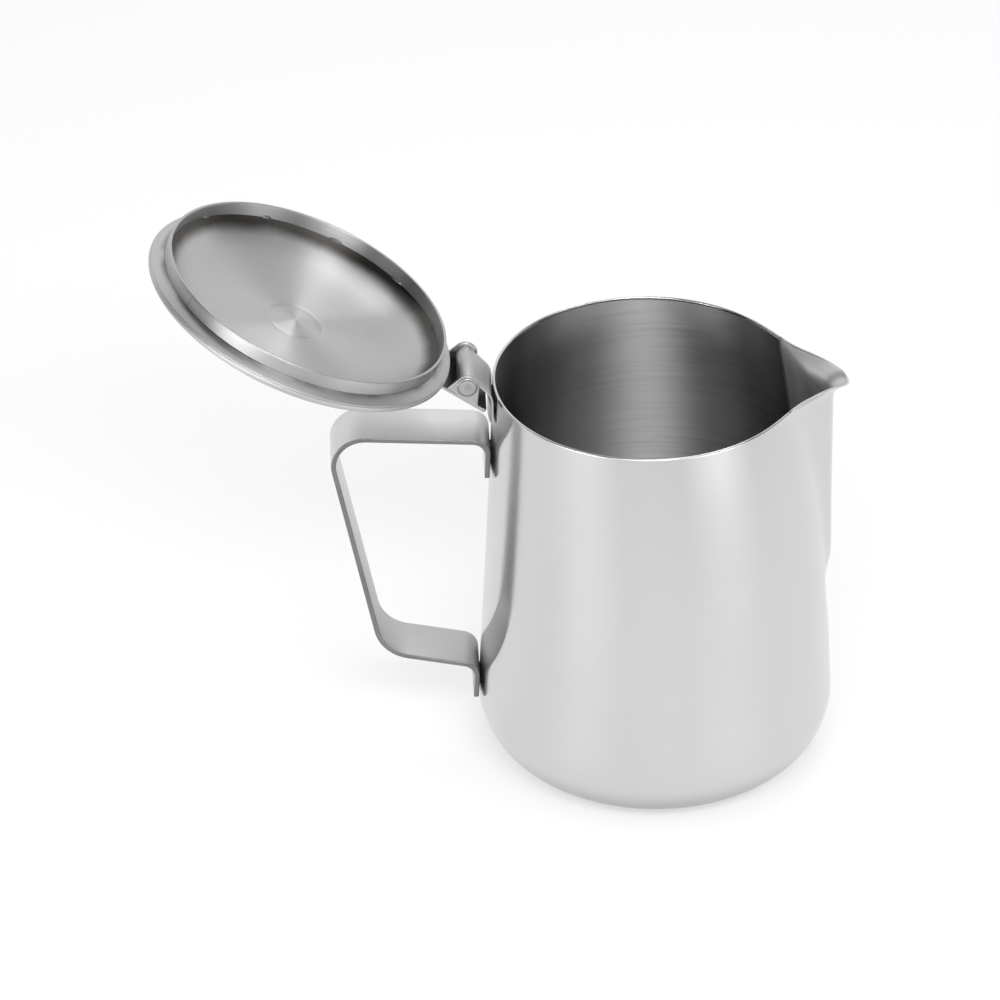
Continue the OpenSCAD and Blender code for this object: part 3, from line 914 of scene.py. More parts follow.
@dataclass
class LidHinge:
    """Both halves of the hinge: leaf and barrel on the jug, pin, ears and thumb lever on the lid."""

    shell: JugShell
    # Pin
    pin_out: float = 8.0
    pin_rise: float = 3.9
    pin_radius: float = 1.8
    pin_clearance: float = 0.05
    head_radius: float = 3.3
    head_height: float = 1.0
    head_edge: float = 0.12
    head_power: float = 0.8
    head_steps: int = 8
    pin_steps: int = 64
    # Leaf and barrel
    leaf_sheet: float = 1.1
    leaf_depth: float = 10.4
    leaf_bends: tuple[float, ...] = (3.2,)
    leaf_steps: int = 12
    leaf_edge: float = 0.35
    leaf_columns: int = 13
    tail_steps: int = 5
    tail_end: float = 0.9
    curl_start: float = 1.0
    curl_height: float = 4.0
    barrel_edge: float = 0.25
    barrel_steps: int = 72
    # Bracket: ears, plate, lever and pad
    width: float = 20.4
    sheet: float = 1.2
    ear_margin: float = 0.75
    ear_reach: float = 5.7
    ear_clearance: float = 0.3
    ear_set_in: float = 0.04
    ear_edge: float = 0.22
    ear_steps: int = 180
    plate_gap: float = 0.75
    plate_slope: float = 12.5
    plate_edge: float = 0.3
    plate_corner: float = 1.2
    pad_length: float = 18.0
    pad_bends: tuple[float, ...] = (12.0, 6.0)
    pad_ease: float = 0.04
    # Gaps and the open angle
    weld_gap: float = 0.25
    stop_gap: float = 0.35
    open_angle: float = 157.4
    lid_weld_gap: float = 0.05
    lid_clearance: float = 0.35
    # Painted shadow under the plate, and on the pin a painted shade ring with peening marks
    underside_shade_reach: tuple[float, float] = (-2.5, 0.5)
    shade_tint: Colour = (0.20, 0.19, 0.18)
    underside_tilt: float = -0.2
    groove_shade_ring: float = 0.83
    groove_shade_width: float = 0.4
    peen_and_hollow_shade_middle: float = 0.7
    mark_scale: float = 420.0
    mark_detail: float = 2.0
    mark_range: tuple[float, float] = (0.4, 0.65)
    mark_strength: float = 0.7
    groove_shade_and_peen_tint: Colour = (0.42, 0.41, 0.40)

    @property
    def pin(self) -> np.ndarray:
        """Place of the pin's axis in the X and Z plane."""
        shell = self.shell
        return np.array([shell.wall_x(shell.height) - self.pin_out, shell.height + self.pin_rise])

    @property
    def bore_radius(self) -> float:
        """Radius of the barrel's bore."""
        return self.pin_radius + self.pin_clearance

    @property
    def barrel_radius(self) -> float:
        """Outer radius of the barrel."""
        return self.bore_radius + self.leaf_sheet

    @property
    def barrel_length(self) -> float:
        """Length of the barrel between the ears."""
        return self.width - 2 * self.sheet - 2 * self.ear_clearance

    @property
    def plate_rise(self) -> float:
        """Height of the plate's middle over the pin."""
        return self.barrel_radius + self.plate_gap + self.sheet / 2

    @property
    def foot_z(self) -> float:
        """Height of the leaf's lower end."""
        return self.shell.height - self.leaf_depth

    @property
    def foot_radius(self) -> float:
        """Radius of the leaf's face on the wall."""
        return self.shell.mouth_radius + self.weld_gap

    @property
    def foot_axis(self) -> float:
        """Place of the upright axis that the leaf's foot curls round."""
        return self.shell.mouth_radius + self.shell.wall_x(self.foot_z)

    def opened(self) -> Matrix:
        """Turn of the lid from closed to open about the pin.

        Returns:
            The turn, in metres.
        """
        x, z = self.pin * MM
        to_pin = Matrix.Translation((x, 0, z))
        return to_pin @ Matrix.Rotation(math.radians(-self.open_angle), 4, "Y") @ to_pin.inverted()

    def across_pin(self, base: Matrix) -> Matrix:
        """Frame on the pin's axis, with its own Z along -Y."""
        x, z = self.pin * MM
        return base @ Matrix.Translation((x, 0, z)) @ Matrix.Rotation(math.pi / 2, 4, "X")

    def build_barrel(self) -> bpy.types.Object:
        """Rolls the leaf's end round the pin.

        Returns:
            The barrel, with softened ends.
        """
        half_sheet = self.leaf_sheet / 2
        section = rounded_section(half_sheet, self.barrel_length / 2, self.barrel_edge)
        profile = [(self.bore_radius + half_sheet + r, z) for r, z in section]
        place = self.across_pin(Matrix.Identity(4))
        piece = revolve("hinge_barrel", profile, place, self.barrel_steps, sharp=35.0)
        return settle(piece, Body.JUG, Slot.SATIN, "hinge_leaf")

    def leaf_line(self, roll: np.ndarray, roll_radius: float) -> tuple[list[Station], float]:
        """Middle line of the leaf, clear of the closed lid's roll.

        Args:
            roll: Centre of the closed lid's roll in the X and Z plane.
            roll_radius: Radius of that roll.

        Returns:
            The line from the barrel down the wall, and the height of its corner.
        """
        half = self.leaf_sheet / 2
        foot_x = self.foot_axis - self.foot_radius - half
        middle, gap = self.bore_radius + half, roll_radius + self.lid_clearance + half
        span = roll - self.pin
        angle = math.atan2(span[1], span[0]) + math.acos((middle + gap) / np.linalg.norm(span))
        start = self.pin + middle * along(angle)
        down = along(angle - math.pi / 2)
        corner = start + down * (foot_x - start[0]) / down[0]
        line = bent_line([start, corner, np.array([foot_x, self.foot_z])], self.leaf_bends, self.leaf_steps)
        levels = np.linspace(line[-2][0][1], self.foot_z + self.tail_end, self.tail_steps + 1)[1:]
        tail = [(np.array([foot_x, z]), -math.pi / 2) for z in levels]
        return line[:-1] + tail + line[-1:], corner[1]

    def build_leaf(self, roll: np.ndarray, roll_radius: float) -> bpy.types.Object:
        """Neck and foot of the leaf, which bend from the barrel down onto the wall.

        Args:
            roll: Centre of the closed lid's roll in the X and Z plane.
            roll_radius: Radius of that roll.

        Returns:
            The leaf's strip.
        """
        half, half_width = self.leaf_sheet / 2, self.barrel_length / 2
        line, corner_z = self.leaf_line(roll, roll_radius)
        across = np.linspace(-1, 1, self.leaf_columns) * half_width
        thick = np.minimum(1.0, (half_width - np.abs(across)) / self.leaf_edge * 0.5 + 0.5) * half
        middle_radius = self.foot_radius + half
        bow = middle_radius - np.sqrt(middle_radius ** 2 - across ** 2)
        rings = []
        for p, heading in line:
            share = min(max((corner_z + self.curl_start - p[1]) / self.curl_height, 0.0), 1.0)
            curl = share * share * (3 - 2 * share)
            normal = along(heading + math.pi / 2)
            front, back = ([(p[0] + curl * b + side * normal[0] * t, y, p[1] + side * normal[1] * t)
                            for b, y, t in zip(bow, across, thick)] for side in (1, -1))
            rings.append(front + back[::-1])
        faces = tube_faces(len(rings), len(rings[0]))
        piece = make_object("hinge_leaf_strip", np.array(rings).reshape(-1, 3), faces, sharp=50.0)
        return settle(piece, Body.JUG, Slot.SATIN, "hinge_leaf")

    def build_pin(self) -> bpy.types.Object:
        """Makes the rivet through both ears.

        Returns:
            The pin, with a domed head at each end.
        """
        half, head = self.width / 2, self.head_radius
        dome_rise = self.head_height - self.head_edge
        dome = [(head * math.sin(t), half + self.head_edge + dome_rise * math.cos(t) ** self.head_power)
                for t in np.linspace(0, math.pi / 2, self.head_steps + 1)]
        upper = dome + [(head, half), (self.pin_radius, half)]
        profile = upper + [(r, -z) for r, z in reversed(upper)]
        piece = revolve("hinge_rivet", profile, self.across_pin(self.opened()), self.pin_steps)
        return settle(piece, Body.LID, Slot.SATIN, "hinge_pin")

    def ear_radius_at(self, angle: float) -> float:
        """Radius of the ear's outline about the pin.

        Args:
            angle: Angle about the pin, in radians.

        Returns:
            Distance of the outline from the pin's axis.
        """
        parallel, slack = 1e-9, 1e-6
        fall = self.ear_reach * math.tan(math.radians(self.plate_slope))
        round_end = self.barrel_radius + self.ear_margin
        lid_end = np.array([self.ear_reach, self.plate_rise - fall])
        lever_end = np.array([-self.ear_reach, self.plate_rise + fall])

        def tangent(point: np.ndarray, side: float) -> np.ndarray:
            """Touch point on the round end, seen from an outer point."""
            reach = np.linalg.norm(point)
            return round_end * along(math.atan2(point[1], point[0]) + side * math.acos(round_end / reach))

        corners = [lid_end, lever_end, tangent(lever_end, 1), tangent(lid_end, -1)]
        ray, best = along(angle), round_end
        for a, b in zip(corners, corners[1:] + corners[:1]):
            edge = b - a
            det = ray[1] * edge[0] - ray[0] * edge[1]
            if abs(det) < parallel:
                continue
            far = (a[1] * edge[0] - a[0] * edge[1]) / det
            share = (ray[0] * a[1] - ray[1] * a[0]) / det
            if far > 0 and -slack <= share <= 1 + slack:
                best = max(best, far)
        return best

    def build_ears(self) -> list[bpy.types.Object]:
        """Makes the two ears that hold the pin.

        Returns:
            The near ear and the far one, with softened edges.
        """
        angles = np.linspace(0, TURN, self.ear_steps + 1)[:-1]
        outline = np.array([self.ear_radius_at(a) for a in angles])
        bore = np.full_like(angles, self.pin_radius)
        edge, soft = self.ear_edge, 0.3 * self.ear_edge
        inner, outer = self.width / 2 - self.sheet, self.width / 2 - self.ear_set_in
        layers = [(bore, inner), (outline - edge, inner), (outline, inner + edge), (outline, outer - edge),
                  (outline - soft, outer - soft), (outline - edge, outer), (bore, outer)]
        faces = ring_faces(len(layers), len(angles), loop=True)
        pieces = []
        for side, word in ((-1, "near"), (1, "far")):
            rings = [np.stack([self.pin[0] + radius * np.cos(angles), np.full_like(angles, side * y),
                               self.pin[1] + radius * np.sin(angles)], 1) for radius, y in layers]
            piece = make_object(f"hinge_ear_{word}", np.concatenate(rings), faces, self.opened(), sharp=50.0)
            pieces.append(settle(piece, Body.LID, Slot.SATIN, "hinge_bracket"))
        return pieces

    def build_plate(self, upper: Station, lower: Station) -> bpy.types.Object:
        """The bracket's strip: pad on the lid, plate over the barrel and thumb lever.

        Args:
            upper: Middle of the stretch of the closed dome under the pad's end, with its slope.
            lower: The same for the stretch under the pad's root.

        Returns:
            The strip.
        """
        half = self.sheet / 2
        slope, turn = math.radians(self.plate_slope), math.radians(self.open_angle)
        over_pin = self.pin + np.array([0.0, self.plate_rise])
        lift = self.lid_weld_gap + self.pad_ease + half
        pad, root = [(p + lift * along(a + math.pi / 2), a) for p, a in (upper, lower)]
        corner = meeting_point(pad, root)
        kink = meeting_point((over_pin, -slope), root)
        foot_face = self.foot_axis - self.foot_radius - self.leaf_sheet
        under_rise = self.plate_rise - half * math.cos(slope)
        root_x = self.pin[0] - half * math.sin(slope) * math.cos(turn) - under_rise * math.sin(turn)
        lever = (root_x - (foot_face - self.stop_gap)) / math.cos(turn - slope)
        pad_end = corner + (self.pad_length - np.linalg.norm(corner - kink)) * along(pad[1])
        path = [pad_end, corner, kink, over_pin + lever * along(math.pi - slope)]
        piece = sweep_strip("hinge_plate", bent_line(path, self.pad_bends), self.width, self.sheet,
                            self.plate_edge, self.plate_corner, self.opened())
        return settle(piece, Body.LID, Slot.SATIN, "hinge_bracket")

    def shaded_underside(self) -> bpy.types.Material:
        """The satin finish with painted shadow on the underside of the plate between lid and barrel.

        Returns:
            The material of the plate's underside.
        """
        graph = HINGE.graph()
        x, _, _ = graph.axes()
        # Painted shadow: the plate's underside darkens over the barrel
        start, end = ((self.pin[0] + self.barrel_radius + reach) * MM for reach in self.underside_shade_reach)
        graph.stain(graph.span(x, 0.0, 1.0, start, end, smooth=True), self.shade_tint)
        return graph.material

    def ringed_pin(self) -> bpy.types.Material:
        """The pin's finish with a painted shade ring for a groove on its heads, and a mottled middle of
        peening marks and painted shade.

        Returns:
            The pin's material.
        """
        graph = PIN.graph()
        out, head = graph.off_axis(), self.head_radius * MM
        # Painted shade: a dark ring stands in for a groove the dome has not, and the middle mixes peening
        # marks with painted shade of a hollow
        off_ring = graph.math("ABSOLUTE", graph.math("SUBTRACT", out, head * self.groove_shade_ring))
        ring = graph.span(off_ring, 1.0, 0.0, 0.0, self.groove_shade_width * MM, smooth=True)
        uneven = graph.noise(graph.place(), self.mark_scale, self.mark_detail)
        marks = graph.span(uneven, 0.0, self.mark_strength, *self.mark_range)
        patch = graph.math("MULTIPLY", marks, graph.span(out, 1.0, 0.0, 0.0, head * self.peen_and_hollow_shade_middle))
        graph.stain(graph.math("MAXIMUM", ring, patch), self.groove_shade_and_peen_tint)
        return graph.material

    def dress(self, pieces: list[bpy.types.Object]) -> None:
        """Gives the strips a satin finish with painted shadow under the plate, and the rivet a peened one
        with painted shade.

        Args:
            pieces: All pieces of the hinge.
        """
        satin, shaded_plate, peened = HINGE.material(), self.shaded_underside(), self.ringed_pin()
        for piece in pieces:
            wear(piece, peened if piece.name == "hinge_rivet" else satin, shaded_plate)
            # The plate's faces that look down take the painted shadow
            if piece.name == "hinge_plate":
                for polygon in piece.data.polygons:
                    polygon.material_index = int(polygon.normal.z < self.underside_tilt)


@dataclass
class LidPlate:
    """The lid: a domed cover with a rolled edge, a skirt that guides it in the mouth, and their tacks."""

    shell: JugShell
    hinge: LidHinge
    # Cover with its dome, and the two stretches of the dome under the hinge's pad
    height: float = 4.35
    sheet: float = 0.8
    overhang: float = 2.1
    roll_radius: float = 1.45
    dome_rise: float = 7.0
    dome_power: float = 6.0
    dome_start: float = 0.26
    dome_bend: float = 0.8
    dome_steps: tuple[int, int] = (11, 18)
    top_flat: float = 6.0
    pad_end: tuple[float, float] = (0.55, 0.68)
    pad_root: tuple[float, float] = (0.78, 0.86)
    # Dimple, flared rim and bead
    dimple_radius: float = 9.0
    dimple_depth: float = 0.7
    dimple_crease: float = 0.16
    dimple_lip: tuple[tuple[float, float], ...] = ((0.9, 0.0), (0.45, 0.4), (0.0, 1.0), (-0.4, 0.4))
    dimple_rings: tuple[float, ...] = (8.2, 6.5, 4.5, 2.5, 1.0)
    flare_stations: tuple[float, ...] = (1.0, 0.3, 0.0)
    bead_points: int = 100
    line_angle: float = -36.0
    line_half: float = 9.0
    line_depth: float = 0.2
    # Skirt and its tacks
    skirt_gap: float = 0.9
    skirt_drop: float = 4.3
    skirt_sheet: float = 0.9
    skirt_edge: float = 0.28
    seam_angle: float = -33.0
    seam_gap: float = 0.12
    weld_gap: float = 0.05
    steps: int = 192
    tack_count: int = 12
    tack_length: float = 4.0
    tack_height: float = 0.7
    tack_steps: int = 14
    tack_uneven: float = 0.2
    tack_stride: float = 5.0
    ripple_height: float = 0.14
    ripple_pitch: float = 11.0
    ripple_stride: float = 2.0
    tack_end: float = 0.08
    tack_section: tuple[tuple[float, float], ...] = (
        (0.0, 0.0), (0.0, 1.0), (0.3, 0.75), (0.75, 0.25), (0.9, -0.1))
    # Heat tints with painted shade in the dome's corner and at the rim's root
    heat_and_shade_range: tuple[float, float] = (0.865, 0.952)
    heat_and_shade_uneven: float = 0.4
    heat_and_shade_scale: float = 90.0
    heat_and_shade_detail: float = 3.0
    shade_tint: Colour = (0.18, 0.17, 0.16)
    root_reach: float = 1.8
    root_scale: float = 70.0
    root_range: tuple[float, float] = (0.42, 0.6)
    root_least: float = 0.2
    root_heat_and_shade_tint: Colour = (0.48, 0.47, 0.46)

    @property
    def skirt_radius(self) -> float:
        """Outer radius of the skirt."""
        return self.shell.mouth_radius - self.shell.sheet - self.skirt_gap

    @property
    def roll_centre(self) -> tuple[float, float]:
        """Centre of the roll in the lid's own profile."""
        return self.shell.mouth_radius + self.overhang - self.roll_radius, self.height - self.roll_radius

    @property
    def shoulder_slope(self) -> float:
        """Slope of the flared rim between skirt and roll, in degrees."""
        out, up = self.roll_centre[0] - self.skirt_radius, self.roll_centre[1]
        return math.degrees(math.atan2(up, out) - math.asin(self.roll_radius / math.hypot(out, up)))

    @property
    def root_z(self) -> float:
        """Height of the flared rim's root when the lid is closed."""
        slope, rim = math.radians(self.shoulder_slope), self.shell.height
        return rim - self.skirt_gap * math.tan(slope) + self.hinge.lid_clearance / math.cos(slope)

    @property
    def closed_roll(self) -> np.ndarray:
        """Centre of the roll on the hinge's side when the lid is closed, in the X and Z plane."""
        r, z = self.roll_centre
        return np.array([-self.shell.mouth_shift - r, self.root_z + z])

    @property
    def place(self) -> Matrix:
        """Frame on the open lid's axis, at the flared rim's root."""
        return self.hinge.opened() @ Matrix.Translation((-self.shell.mouth_shift * MM, 0, self.root_z * MM))

    @property
    def seat(self) -> tuple[float, float]:
        """Radius and height of the sheet's outer corner on the skirt, in the lid's own profile."""
        return self.skirt_radius + self.weld_gap, self.weld_gap * math.tan(math.radians(self.shoulder_slope))

    @property
    def skirt_top(self) -> float:
        """Height of the skirt's upper edge in the lid's own profile."""
        return self.seat[1] - self.weld_gap

    @property
    def gutter(self) -> tuple[float, float]:
        """Radius and height of the gutter between dome and flared rim, on the lid's top."""
        slope, (r, z) = math.radians(self.shoulder_slope), self.seat
        return r + self.sheet * ((1 - math.cos(slope)) / math.tan(slope) - math.sin(slope)), z + self.sheet

    @property
    def top_z(self) -> float:
        """Height of the dome's top in the lid's own profile."""
        return self.gutter[1] + self.dome_rise

    def dome(self, reach: float, base: float, shares: np.ndarray) -> Profile:
        """Points on one face of the dome at shares of its reach."""
        return [(reach * s, base + self.dome_rise * (1 - s ** self.dome_power)) for s in shares]

    def under_pad(self, shares: tuple[float, float]) -> Station:
        """Stretch of the closed dome under a part of the hinge's pad.

        Args:
            shares: Where the stretch starts and ends, as shares of the dome's reach.

        Returns:
            Its middle on the hinge's side, and its slope.
        """
        (r0, z0), (r1, z1) = self.dome(*self.gutter, np.array(shares))
        middle = np.array([-self.shell.mouth_shift - (r0 + r1) / 2, self.root_z + (z0 + z1) / 2])
        return middle, math.atan2(z0 - z1, r1 - r0)

    def bead(self, start: float, end: float) -> Profile:
        """Points round the roll, with the fine line that the rolling tool presses into its underside.

        Args:
            start: First angle, in degrees.
            end: Last angle.

        Returns:
            Radius and height of each point.
        """
        points: Profile = []
        for angle in np.linspace(start, end, self.bead_points):
            press = max(0.0, 1 - abs(angle - self.line_angle) / self.line_half)
            points += arc(self.roll_centre, self.roll_radius - self.line_depth * press, angle, angle, 0)
        return points

    def build_cover(self) -> bpy.types.Object:
        """Presses the cover: dome, shallow cone in its middle, seat over the skirt, flared rim and bead.

        Returns:
            The cover.
        """
        slope, (seat_r, seat_z) = self.shoulder_slope, self.seat
        inside = self.skirt_radius - self.skirt_sheet - self.weld_gap
        roof, ring = seat_z + self.dome_rise, self.dimple_radius
        tip = roof - self.dimple_depth
        flat_steps, bend_steps = self.dome_steps
        shares = np.concatenate([np.linspace(self.dome_start, self.dome_bend, flat_steps + 1),
                                 np.linspace(self.dome_bend, 1.0, bend_steps + 1)[1:]])
        turn_in = slope + 180 + math.degrees(math.asin((self.roll_radius - self.sheet) / self.roll_radius))
        out, up = along(math.radians(slope))
        profile = [(0.0, tip), (0.0, self.top_z), (self.top_flat, self.top_z)]
        profile += self.dome(*self.gutter, shares)
        profile += self.bead(turn_in, slope - 90)
        profile += [(seat_r + s * out, seat_z + s * up) for s in self.flare_stations]
        profile += self.dome(inside, seat_z, shares[::-1])
        profile += [(ring + off, roof + self.dimple_crease * lift) for off, lift in self.dimple_lip]
        profile += [(r, tip + self.dimple_depth * r / ring) for r in self.dimple_rings]
        piece = revolve("lid_cover_turned", profile, self.place, self.steps)
        return settle(piece, Body.LID, Slot.TURNED, "lid_cover")

    def build_skirt(self) -> bpy.types.Object:
        """Rolls the skirt's strip into a ring.

        Returns:
            The skirt, open at its butt seam.
        """
        gap = self.seam_gap / self.skirt_radius
        start = math.radians(self.seam_angle) + gap / 2
        out, inside, edge = self.skirt_radius, self.skirt_radius - self.skirt_sheet, self.skirt_edge
        low, high = -self.skirt_drop, self.skirt_top
        middle = (low + high) / 2
        profile = arc((inside + edge, low + edge), edge, 180, 270, 4)
        profile += arc((out - edge, low + edge), edge, 270, 360, 4)
        profile += [(out, middle), (out, high), (inside, high), (inside, middle)]
        piece = revolve("lid_skirt_ring", profile, self.place, self.steps, (start, start + TURN - gap))
        return settle(piece, Body.LID, Slot.TURNED, "lid_skirt")

    def build_tacks(self) -> bpy.types.Object:
        """Lays the small uneven tack welds in the corner between skirt and dome.

        Returns:
            All tacks as one piece.
        """
        inside, top = self.skirt_radius - self.skirt_sheet, self.skirt_top
        stations = np.linspace(-1, 1, self.tack_steps + 1)
        tack_faces = tube_faces(len(stations), len(self.tack_section))
        points, faces = [], []
        for k in range(self.tack_count):
            middle = TURN * (k + 0.5) / self.tack_count
            half = self.tack_length * (1 + self.tack_uneven * math.sin(self.tack_stride * k)) / inside / 2
            faces += [tuple(len(points) + i for i in face) for face in tack_faces]
            for s in stations:
                ripple = self.ripple_height * math.sin(self.ripple_pitch * s + self.ripple_stride * k)
                tall = self.tack_height * max(1 - s ** 4, self.tack_end) * (1 + ripple)
                a = middle + half * s
                for inward, down in self.tack_section:
                    r = inside - inward * tall
                    points.append((r * math.cos(a), r * math.sin(a), top - down * tall))
        piece = make_object("skirt_tack_welds", np.array(points), faces, self.place, sharp=60.0)
        return settle(piece, Body.LID, Slot.WELD, "skirt_tacks")

    def shaded_underside(self) -> bpy.types.Material:
        """The turned finish, darkened round the dome's foot by the tacks' heat tint and by painted shade of
        the corner.

        Returns:
            The material of the dome's inside.
        """
        graph = TURNED.graph()
        # Heat tint with painted shade: the dome's inside darkens in its corner by the skirt
        change = self.heat_and_shade_uneven * MM
        uneven = graph.span(graph.noise(graph.place(), self.heat_and_shade_scale, self.heat_and_shade_detail), -change, change)
        start, end = (self.skirt_radius * share * MM for share in self.heat_and_shade_range)
        out = graph.math("ADD", graph.off_axis(), uneven)
        graph.stain(graph.span(out, 0.0, 1.0, start, end, smooth=True), self.shade_tint)
        return graph.material

    def tinted_root(self) -> bpy.types.Material:
        """The rim's finish with a patchy dark line where it flares out from the skirt: heat tint and painted
        shade of that corner.

        Returns:
            The material of the flared rim and the bead.
        """
        graph = RIM.graph()
        # Heat tint with painted shade along the corner where the rim leaves the skirt
        uneven = graph.noise(graph.place(), self.root_scale, self.heat_and_shade_detail)
        patch = graph.span(uneven, self.root_least, 1.0, *self.root_range)
        root = self.skirt_radius * MM
        near = graph.span(graph.off_axis(), 1.0, 0.0, root, root + self.root_reach * MM, smooth=True)
        graph.stain(graph.math("MULTIPLY", patch, near), self.root_heat_and_shade_tint)
        return graph.material

    def dress(self, cover: bpy.types.Object, skirt: bpy.types.Object, tacks: bpy.types.Object) -> None:
        """Turns the cover in circles, brushes the skirt round and leaves the tacks dull.

        Args:
            cover: The cover.
            skirt: The skirt.
            tacks: The tacks.
        """
        wear(cover, self.tinted_root(), self.shaded_underside(), LID_TOP.material())
        for polygon in cover.data.polygons:
            if math.hypot(polygon.center.x, polygon.center.y) < self.gutter[0] * MM:
                # Faces inside the dome that look down take the heat tint with painted shade
                polygon.material_index = 1 if polygon.normal.z < 0 else 2
        wear(skirt, SKIRT.material())
        wear(tacks, WELD.material())


@dataclass
class LidKnob:
    """The turned knob on the lid's top."""

    lid: LidPlate
    diameter: float = 19.0
    height: float = 15.0
    foot_diameter: float = 13.0
    waist_diameter: float = 8.0
    foot_share: float = 0.16
    waist_share: float = 0.34
    crown_share: float = 0.72
    foot_edge: float = 0.4
    waist_steps: int = 6
    cup_shares: tuple[float, ...] = (0.3, 0.6, 0.9, 0.97)
    crown_start: float = 0.04
    crown_steps: int = 14
    steps: int = 96

    def build(self) -> bpy.types.Object:
        """Turns the knob on its waisted foot.

        Returns:
            The knob.
        """
        foot, waist, head = self.foot_diameter / 2, self.waist_diameter / 2, self.diameter / 2
        tall, crown = self.height, self.height * self.crown_share
        half_foot, high = tall * self.foot_share / 2, tall * self.waist_share
        profile = [(0.0, 0.0), (foot, 0.0), (foot, half_foot - self.foot_edge)]
        profile += [(waist + (foot - waist) * (1 - t) ** 2, half_foot + half_foot * t)
                    for t in np.linspace(0, 1, self.waist_steps + 1)]
        profile += [(waist, half_foot + high / 2), (waist, high)]
        profile += [(waist + (head - waist) * t, high + (crown - high) * t) for t in self.cup_shares]
        profile += [(head * math.cos(t), crown + (tall - crown) * math.sin(t))
                    for t in np.linspace(self.crown_start, math.pi / 2, self.crown_steps + 1)]
        seat = self.lid.place @ Matrix.Translation((0, 0, (self.lid.top_z + self.lid.weld_gap) * MM))
        piece = revolve("lid_knob_turned", profile, seat, self.steps)
        return settle(piece, Body.LID, Slot.POLISHED, "lid_knob")

    def dress(self, piece: bpy.types.Object) -> None:
        """Polishes the knob, with fine turning lines."""
        wear(piece, KNOB.material())


@dataclass
class SpotWelds:
    """The weld nuggets between the sheets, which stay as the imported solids."""

    nodes: tuple[str, ...] = ("handle_welds", "leaf_welds", "bracket_welds", "knob_weld")

    def dress(self) -> None:
        """Gives each nugget dull weld metal."""
        metal = WELD.material()
        for name in self.nodes:
            wear(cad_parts[name], metal)
            LOG.info("%s: packed solid with weld metal", name)


# Studio


@dataclass(frozen=True)
class Softbox:
    """One soft lamp: place, aim and size in metres, power in watts, spread in degrees."""

    name: str
    place: tuple[float, float, float]
    aim: tuple[float, float, float]
    size: tuple[float, float]
    power: float
    spread: float = 180.0


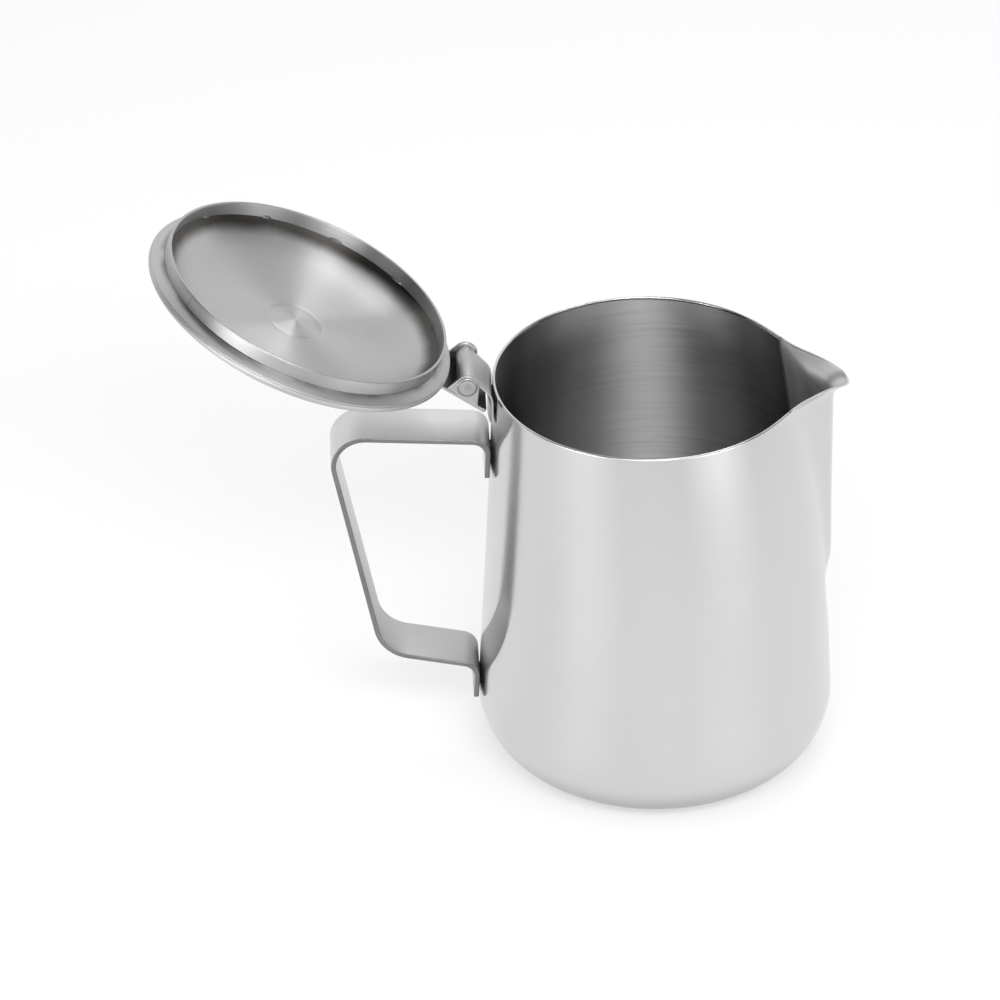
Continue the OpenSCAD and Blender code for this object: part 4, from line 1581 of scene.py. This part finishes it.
@dataclass
class Studio:
    """Floor, backdrop light, lamps and camera, in metres and degrees."""

    target: tuple[float, float, float] = (-0.048, 0.0, 0.088325)
    distance: float = 3.0
    elevation: float = 32.9
    azimuth: float = -1.97
    lens: float = 352.08
    sensor: float = 36.0
    clip: tuple[float, float] = (0.05, 100.0)
    ambient: float = 0.60
    floor_half: float = 8.0
    floor_depth: float = 0.0002
    floor_tone: float = 0.9
    floor_glow: float = 0.58
    canopy_radius: float = 1.5
    canopy_foot: float = 17.0
    canopy_step: float = 5.0
    canopy_rows: int = 16
    canopy_tone: float = 0.03
    window: tuple[float, float, float] = (25.0, 155.0, 60.0)
    boxes: list[Softbox] = field(default_factory=lambda: [
        Softbox("top_panel", (0.20, 0.45, 1.02), (-0.08, 0.0, 0.12), (0.46, 0.16), 1.6),
        Softbox("front_panel", (0.06, -0.95, 0.96), (0.0, 0.0, 0.1), (1.5, 0.25), 2.2, 58.0),
        Softbox("right_fill", (0.79, -0.62, 1.0), (0.0, 0.0, 0.1), (1.1, 0.25), 0.17, 45.0),
        Softbox("left_fill", (-0.79, -0.62, 1.0), (0.0, 0.0, 0.1), (1.1, 0.25), 0.15, 45.0),
        Softbox("left_strip", (-0.9, -0.8, 0.17), (0.0, 0.0, 0.07), (1.2, 0.3), 0.64, 54.0),
        Softbox("right_strip", (0.9, -0.83, 0.17), (0.0, 0.0, 0.07), (1.2, 0.3), 0.46, 54.0),
    ])

    @staticmethod
    def seen(tree: bpy.types.NodeTree) -> Socket:
        """Tells which rays see the backdrop.

        Args:
            tree: Node tree of the floor's material or of the world.

        Returns:
            A value of 1 for camera, glossy and transmission rays.
        """
        path = tree.nodes.new("ShaderNodeLightPath")
        total = path.outputs["Is Camera Ray"]
        for key in ("Is Glossy Ray", "Is Transmission Ray"):
            add = tree.nodes.new("ShaderNodeMath")
            add.operation, add.use_clamp = "ADD", True
            tree.links.new(total, add.inputs[0])
            tree.links.new(path.outputs[key], add.inputs[1])
            total = add.outputs[0]
        return total

    def build_world(self) -> None:
        """White backdrop for what is seen, soft ambient light for the rest."""
        world = bpy.data.worlds.new("studio")
        world.use_nodes = True
        bpy.context.scene.world = world
        tree = world.node_tree
        back = tree.nodes["Background"]
        back.inputs["Color"].default_value = (1, 1, 1, 1)
        level = tree.nodes.new("ShaderNodeMath")
        level.operation = "MULTIPLY_ADD"
        tree.links.new(self.seen(tree), level.inputs[0])
        level.inputs[1].default_value = 1 - self.ambient
        level.inputs[2].default_value = self.ambient
        tree.links.new(level.outputs[0], back.inputs["Strength"])

    def build_floor(self) -> None:
        """Plain pale floor that keeps the object's shadow."""
        half, low = self.floor_half, -self.floor_depth
        corners = np.array([(-half, -half, low), (half, -half, low), (half, half, low), (-half, half, low)])
        floor = make_object("floor", corners / MM, [(0, 1, 2, 3)])
        graph = Graph("pale_floor")
        graph.tree.nodes.remove(graph.shader)
        paper = graph.add("ShaderNodeBsdfDiffuse")
        paper.inputs["Color"].default_value = (*grey(self.floor_tone), 1)
        glow = graph.add("ShaderNodeEmission")
        glow.inputs["Strength"].default_value = 1.0
        share = graph.math("MULTIPLY", self.seen(graph.tree), self.floor_glow)
        surface = graph.fed("ShaderNodeMixShader", share, paper.outputs[0], glow.outputs[0])
        graph.put(surface, graph.output.inputs["Surface"])
        wear(floor, graph.material)

    def build_canopy(self) -> None:
        """Dark cloth over the set, open toward the backdrop, which only shiny metal sees."""
        turn = np.arange(0.0, 360.0, self.canopy_step)
        rise = np.linspace(self.canopy_foot, 90.0, self.canopy_rows)
        points = []
        for e in np.radians(rise):
            points += [(math.cos(e) * math.cos(a), math.cos(e) * math.sin(a), math.sin(e))
                       for a in np.radians(turn)]
        left, right, top = self.window
        faces = [f for f in ring_faces(len(rise), len(turn))
                 if not (left <= turn[f[0] % len(turn)] < right and rise[f[0] // len(turn)] < top)]
        cloth = make_object("dark_canopy", np.array(points) * self.canopy_radius / MM, faces)
        graph = Graph("dark_cloth")
        graph.shader.inputs["Base Color"].default_value = (*grey(self.canopy_tone), 1)
        graph.shader.inputs["Roughness"].default_value = 1.0
        wear(cloth, graph.material)
        cloth.visible_camera = False
        cloth.visible_diffuse = False
        cloth.visible_shadow = False

    def build_lamps(self) -> None:
        """Soft lamps round the object."""
        for box in self.boxes:
            lamp = bpy.data.lights.new(box.name, "AREA")
            lamp.shape = "RECTANGLE"
            lamp.size, lamp.size_y = box.size
            lamp.energy = box.power
            lamp.spread = math.radians(box.spread)
            item = bpy.data.objects.new(box.name, lamp)
            bpy.context.scene.collection.objects.link(item)
            item.location = box.place
            item.visible_camera = False
            item.rotation_euler = (Vector(box.aim) - Vector(box.place)).to_track_quat("-Z", "Y").to_euler()

    def build_camera(self) -> None:
        """Camera at the photograph's angle."""
        a, e = math.radians(self.azimuth), math.radians(self.elevation)
        back = Vector((math.sin(a) * math.cos(e), -math.cos(a) * math.cos(e), math.sin(e)))
        lens = bpy.data.cameras.new("camera")
        lens.lens = self.lens
        lens.sensor_width = self.sensor
        lens.clip_start, lens.clip_end = self.clip
        camera = bpy.data.objects.new("camera", lens)
        bpy.context.scene.collection.objects.link(camera)
        camera.location = Vector(self.target) + back * self.distance
        camera.rotation_mode = "QUATERNION"
        camera.rotation_quaternion = (-back).to_track_quat("-Z", "Y")
        bpy.context.scene.camera = camera

    def build(self) -> None:
        """Sets up the whole studio."""
        bpy.context.scene.view_settings.view_transform = "Standard"
        self.build_world()
        self.build_floor()
        self.build_canopy()
        self.build_lamps()
        self.build_camera()


def main() -> None:
    """Builds and dresses each sub-assembly in order, then the studio."""
    logging.basicConfig(level=logging.INFO, format="%(message)s")
    shell = JugShell()
    shell.dress(shell.build())
    handle = StrapHandle(shell)
    handle.dress(handle.build())
    hinge = LidHinge(shell)
    lid = LidPlate(shell, hinge)
    hinge.dress([
        hinge.build_barrel(),
        hinge.build_leaf(lid.closed_roll, lid.roll_radius),
        hinge.build_pin(),
        *hinge.build_ears(),
        hinge.build_plate(lid.under_pad(lid.pad_end), lid.under_pad(lid.pad_root)),
    ])
    lid.dress(lid.build_cover(), lid.build_skirt(), lid.build_tacks())
    knob = LidKnob(lid)
    knob.dress(knob.build())
    SpotWelds().dress()
    Studio().build()


if __name__ == "__main__":
    main()
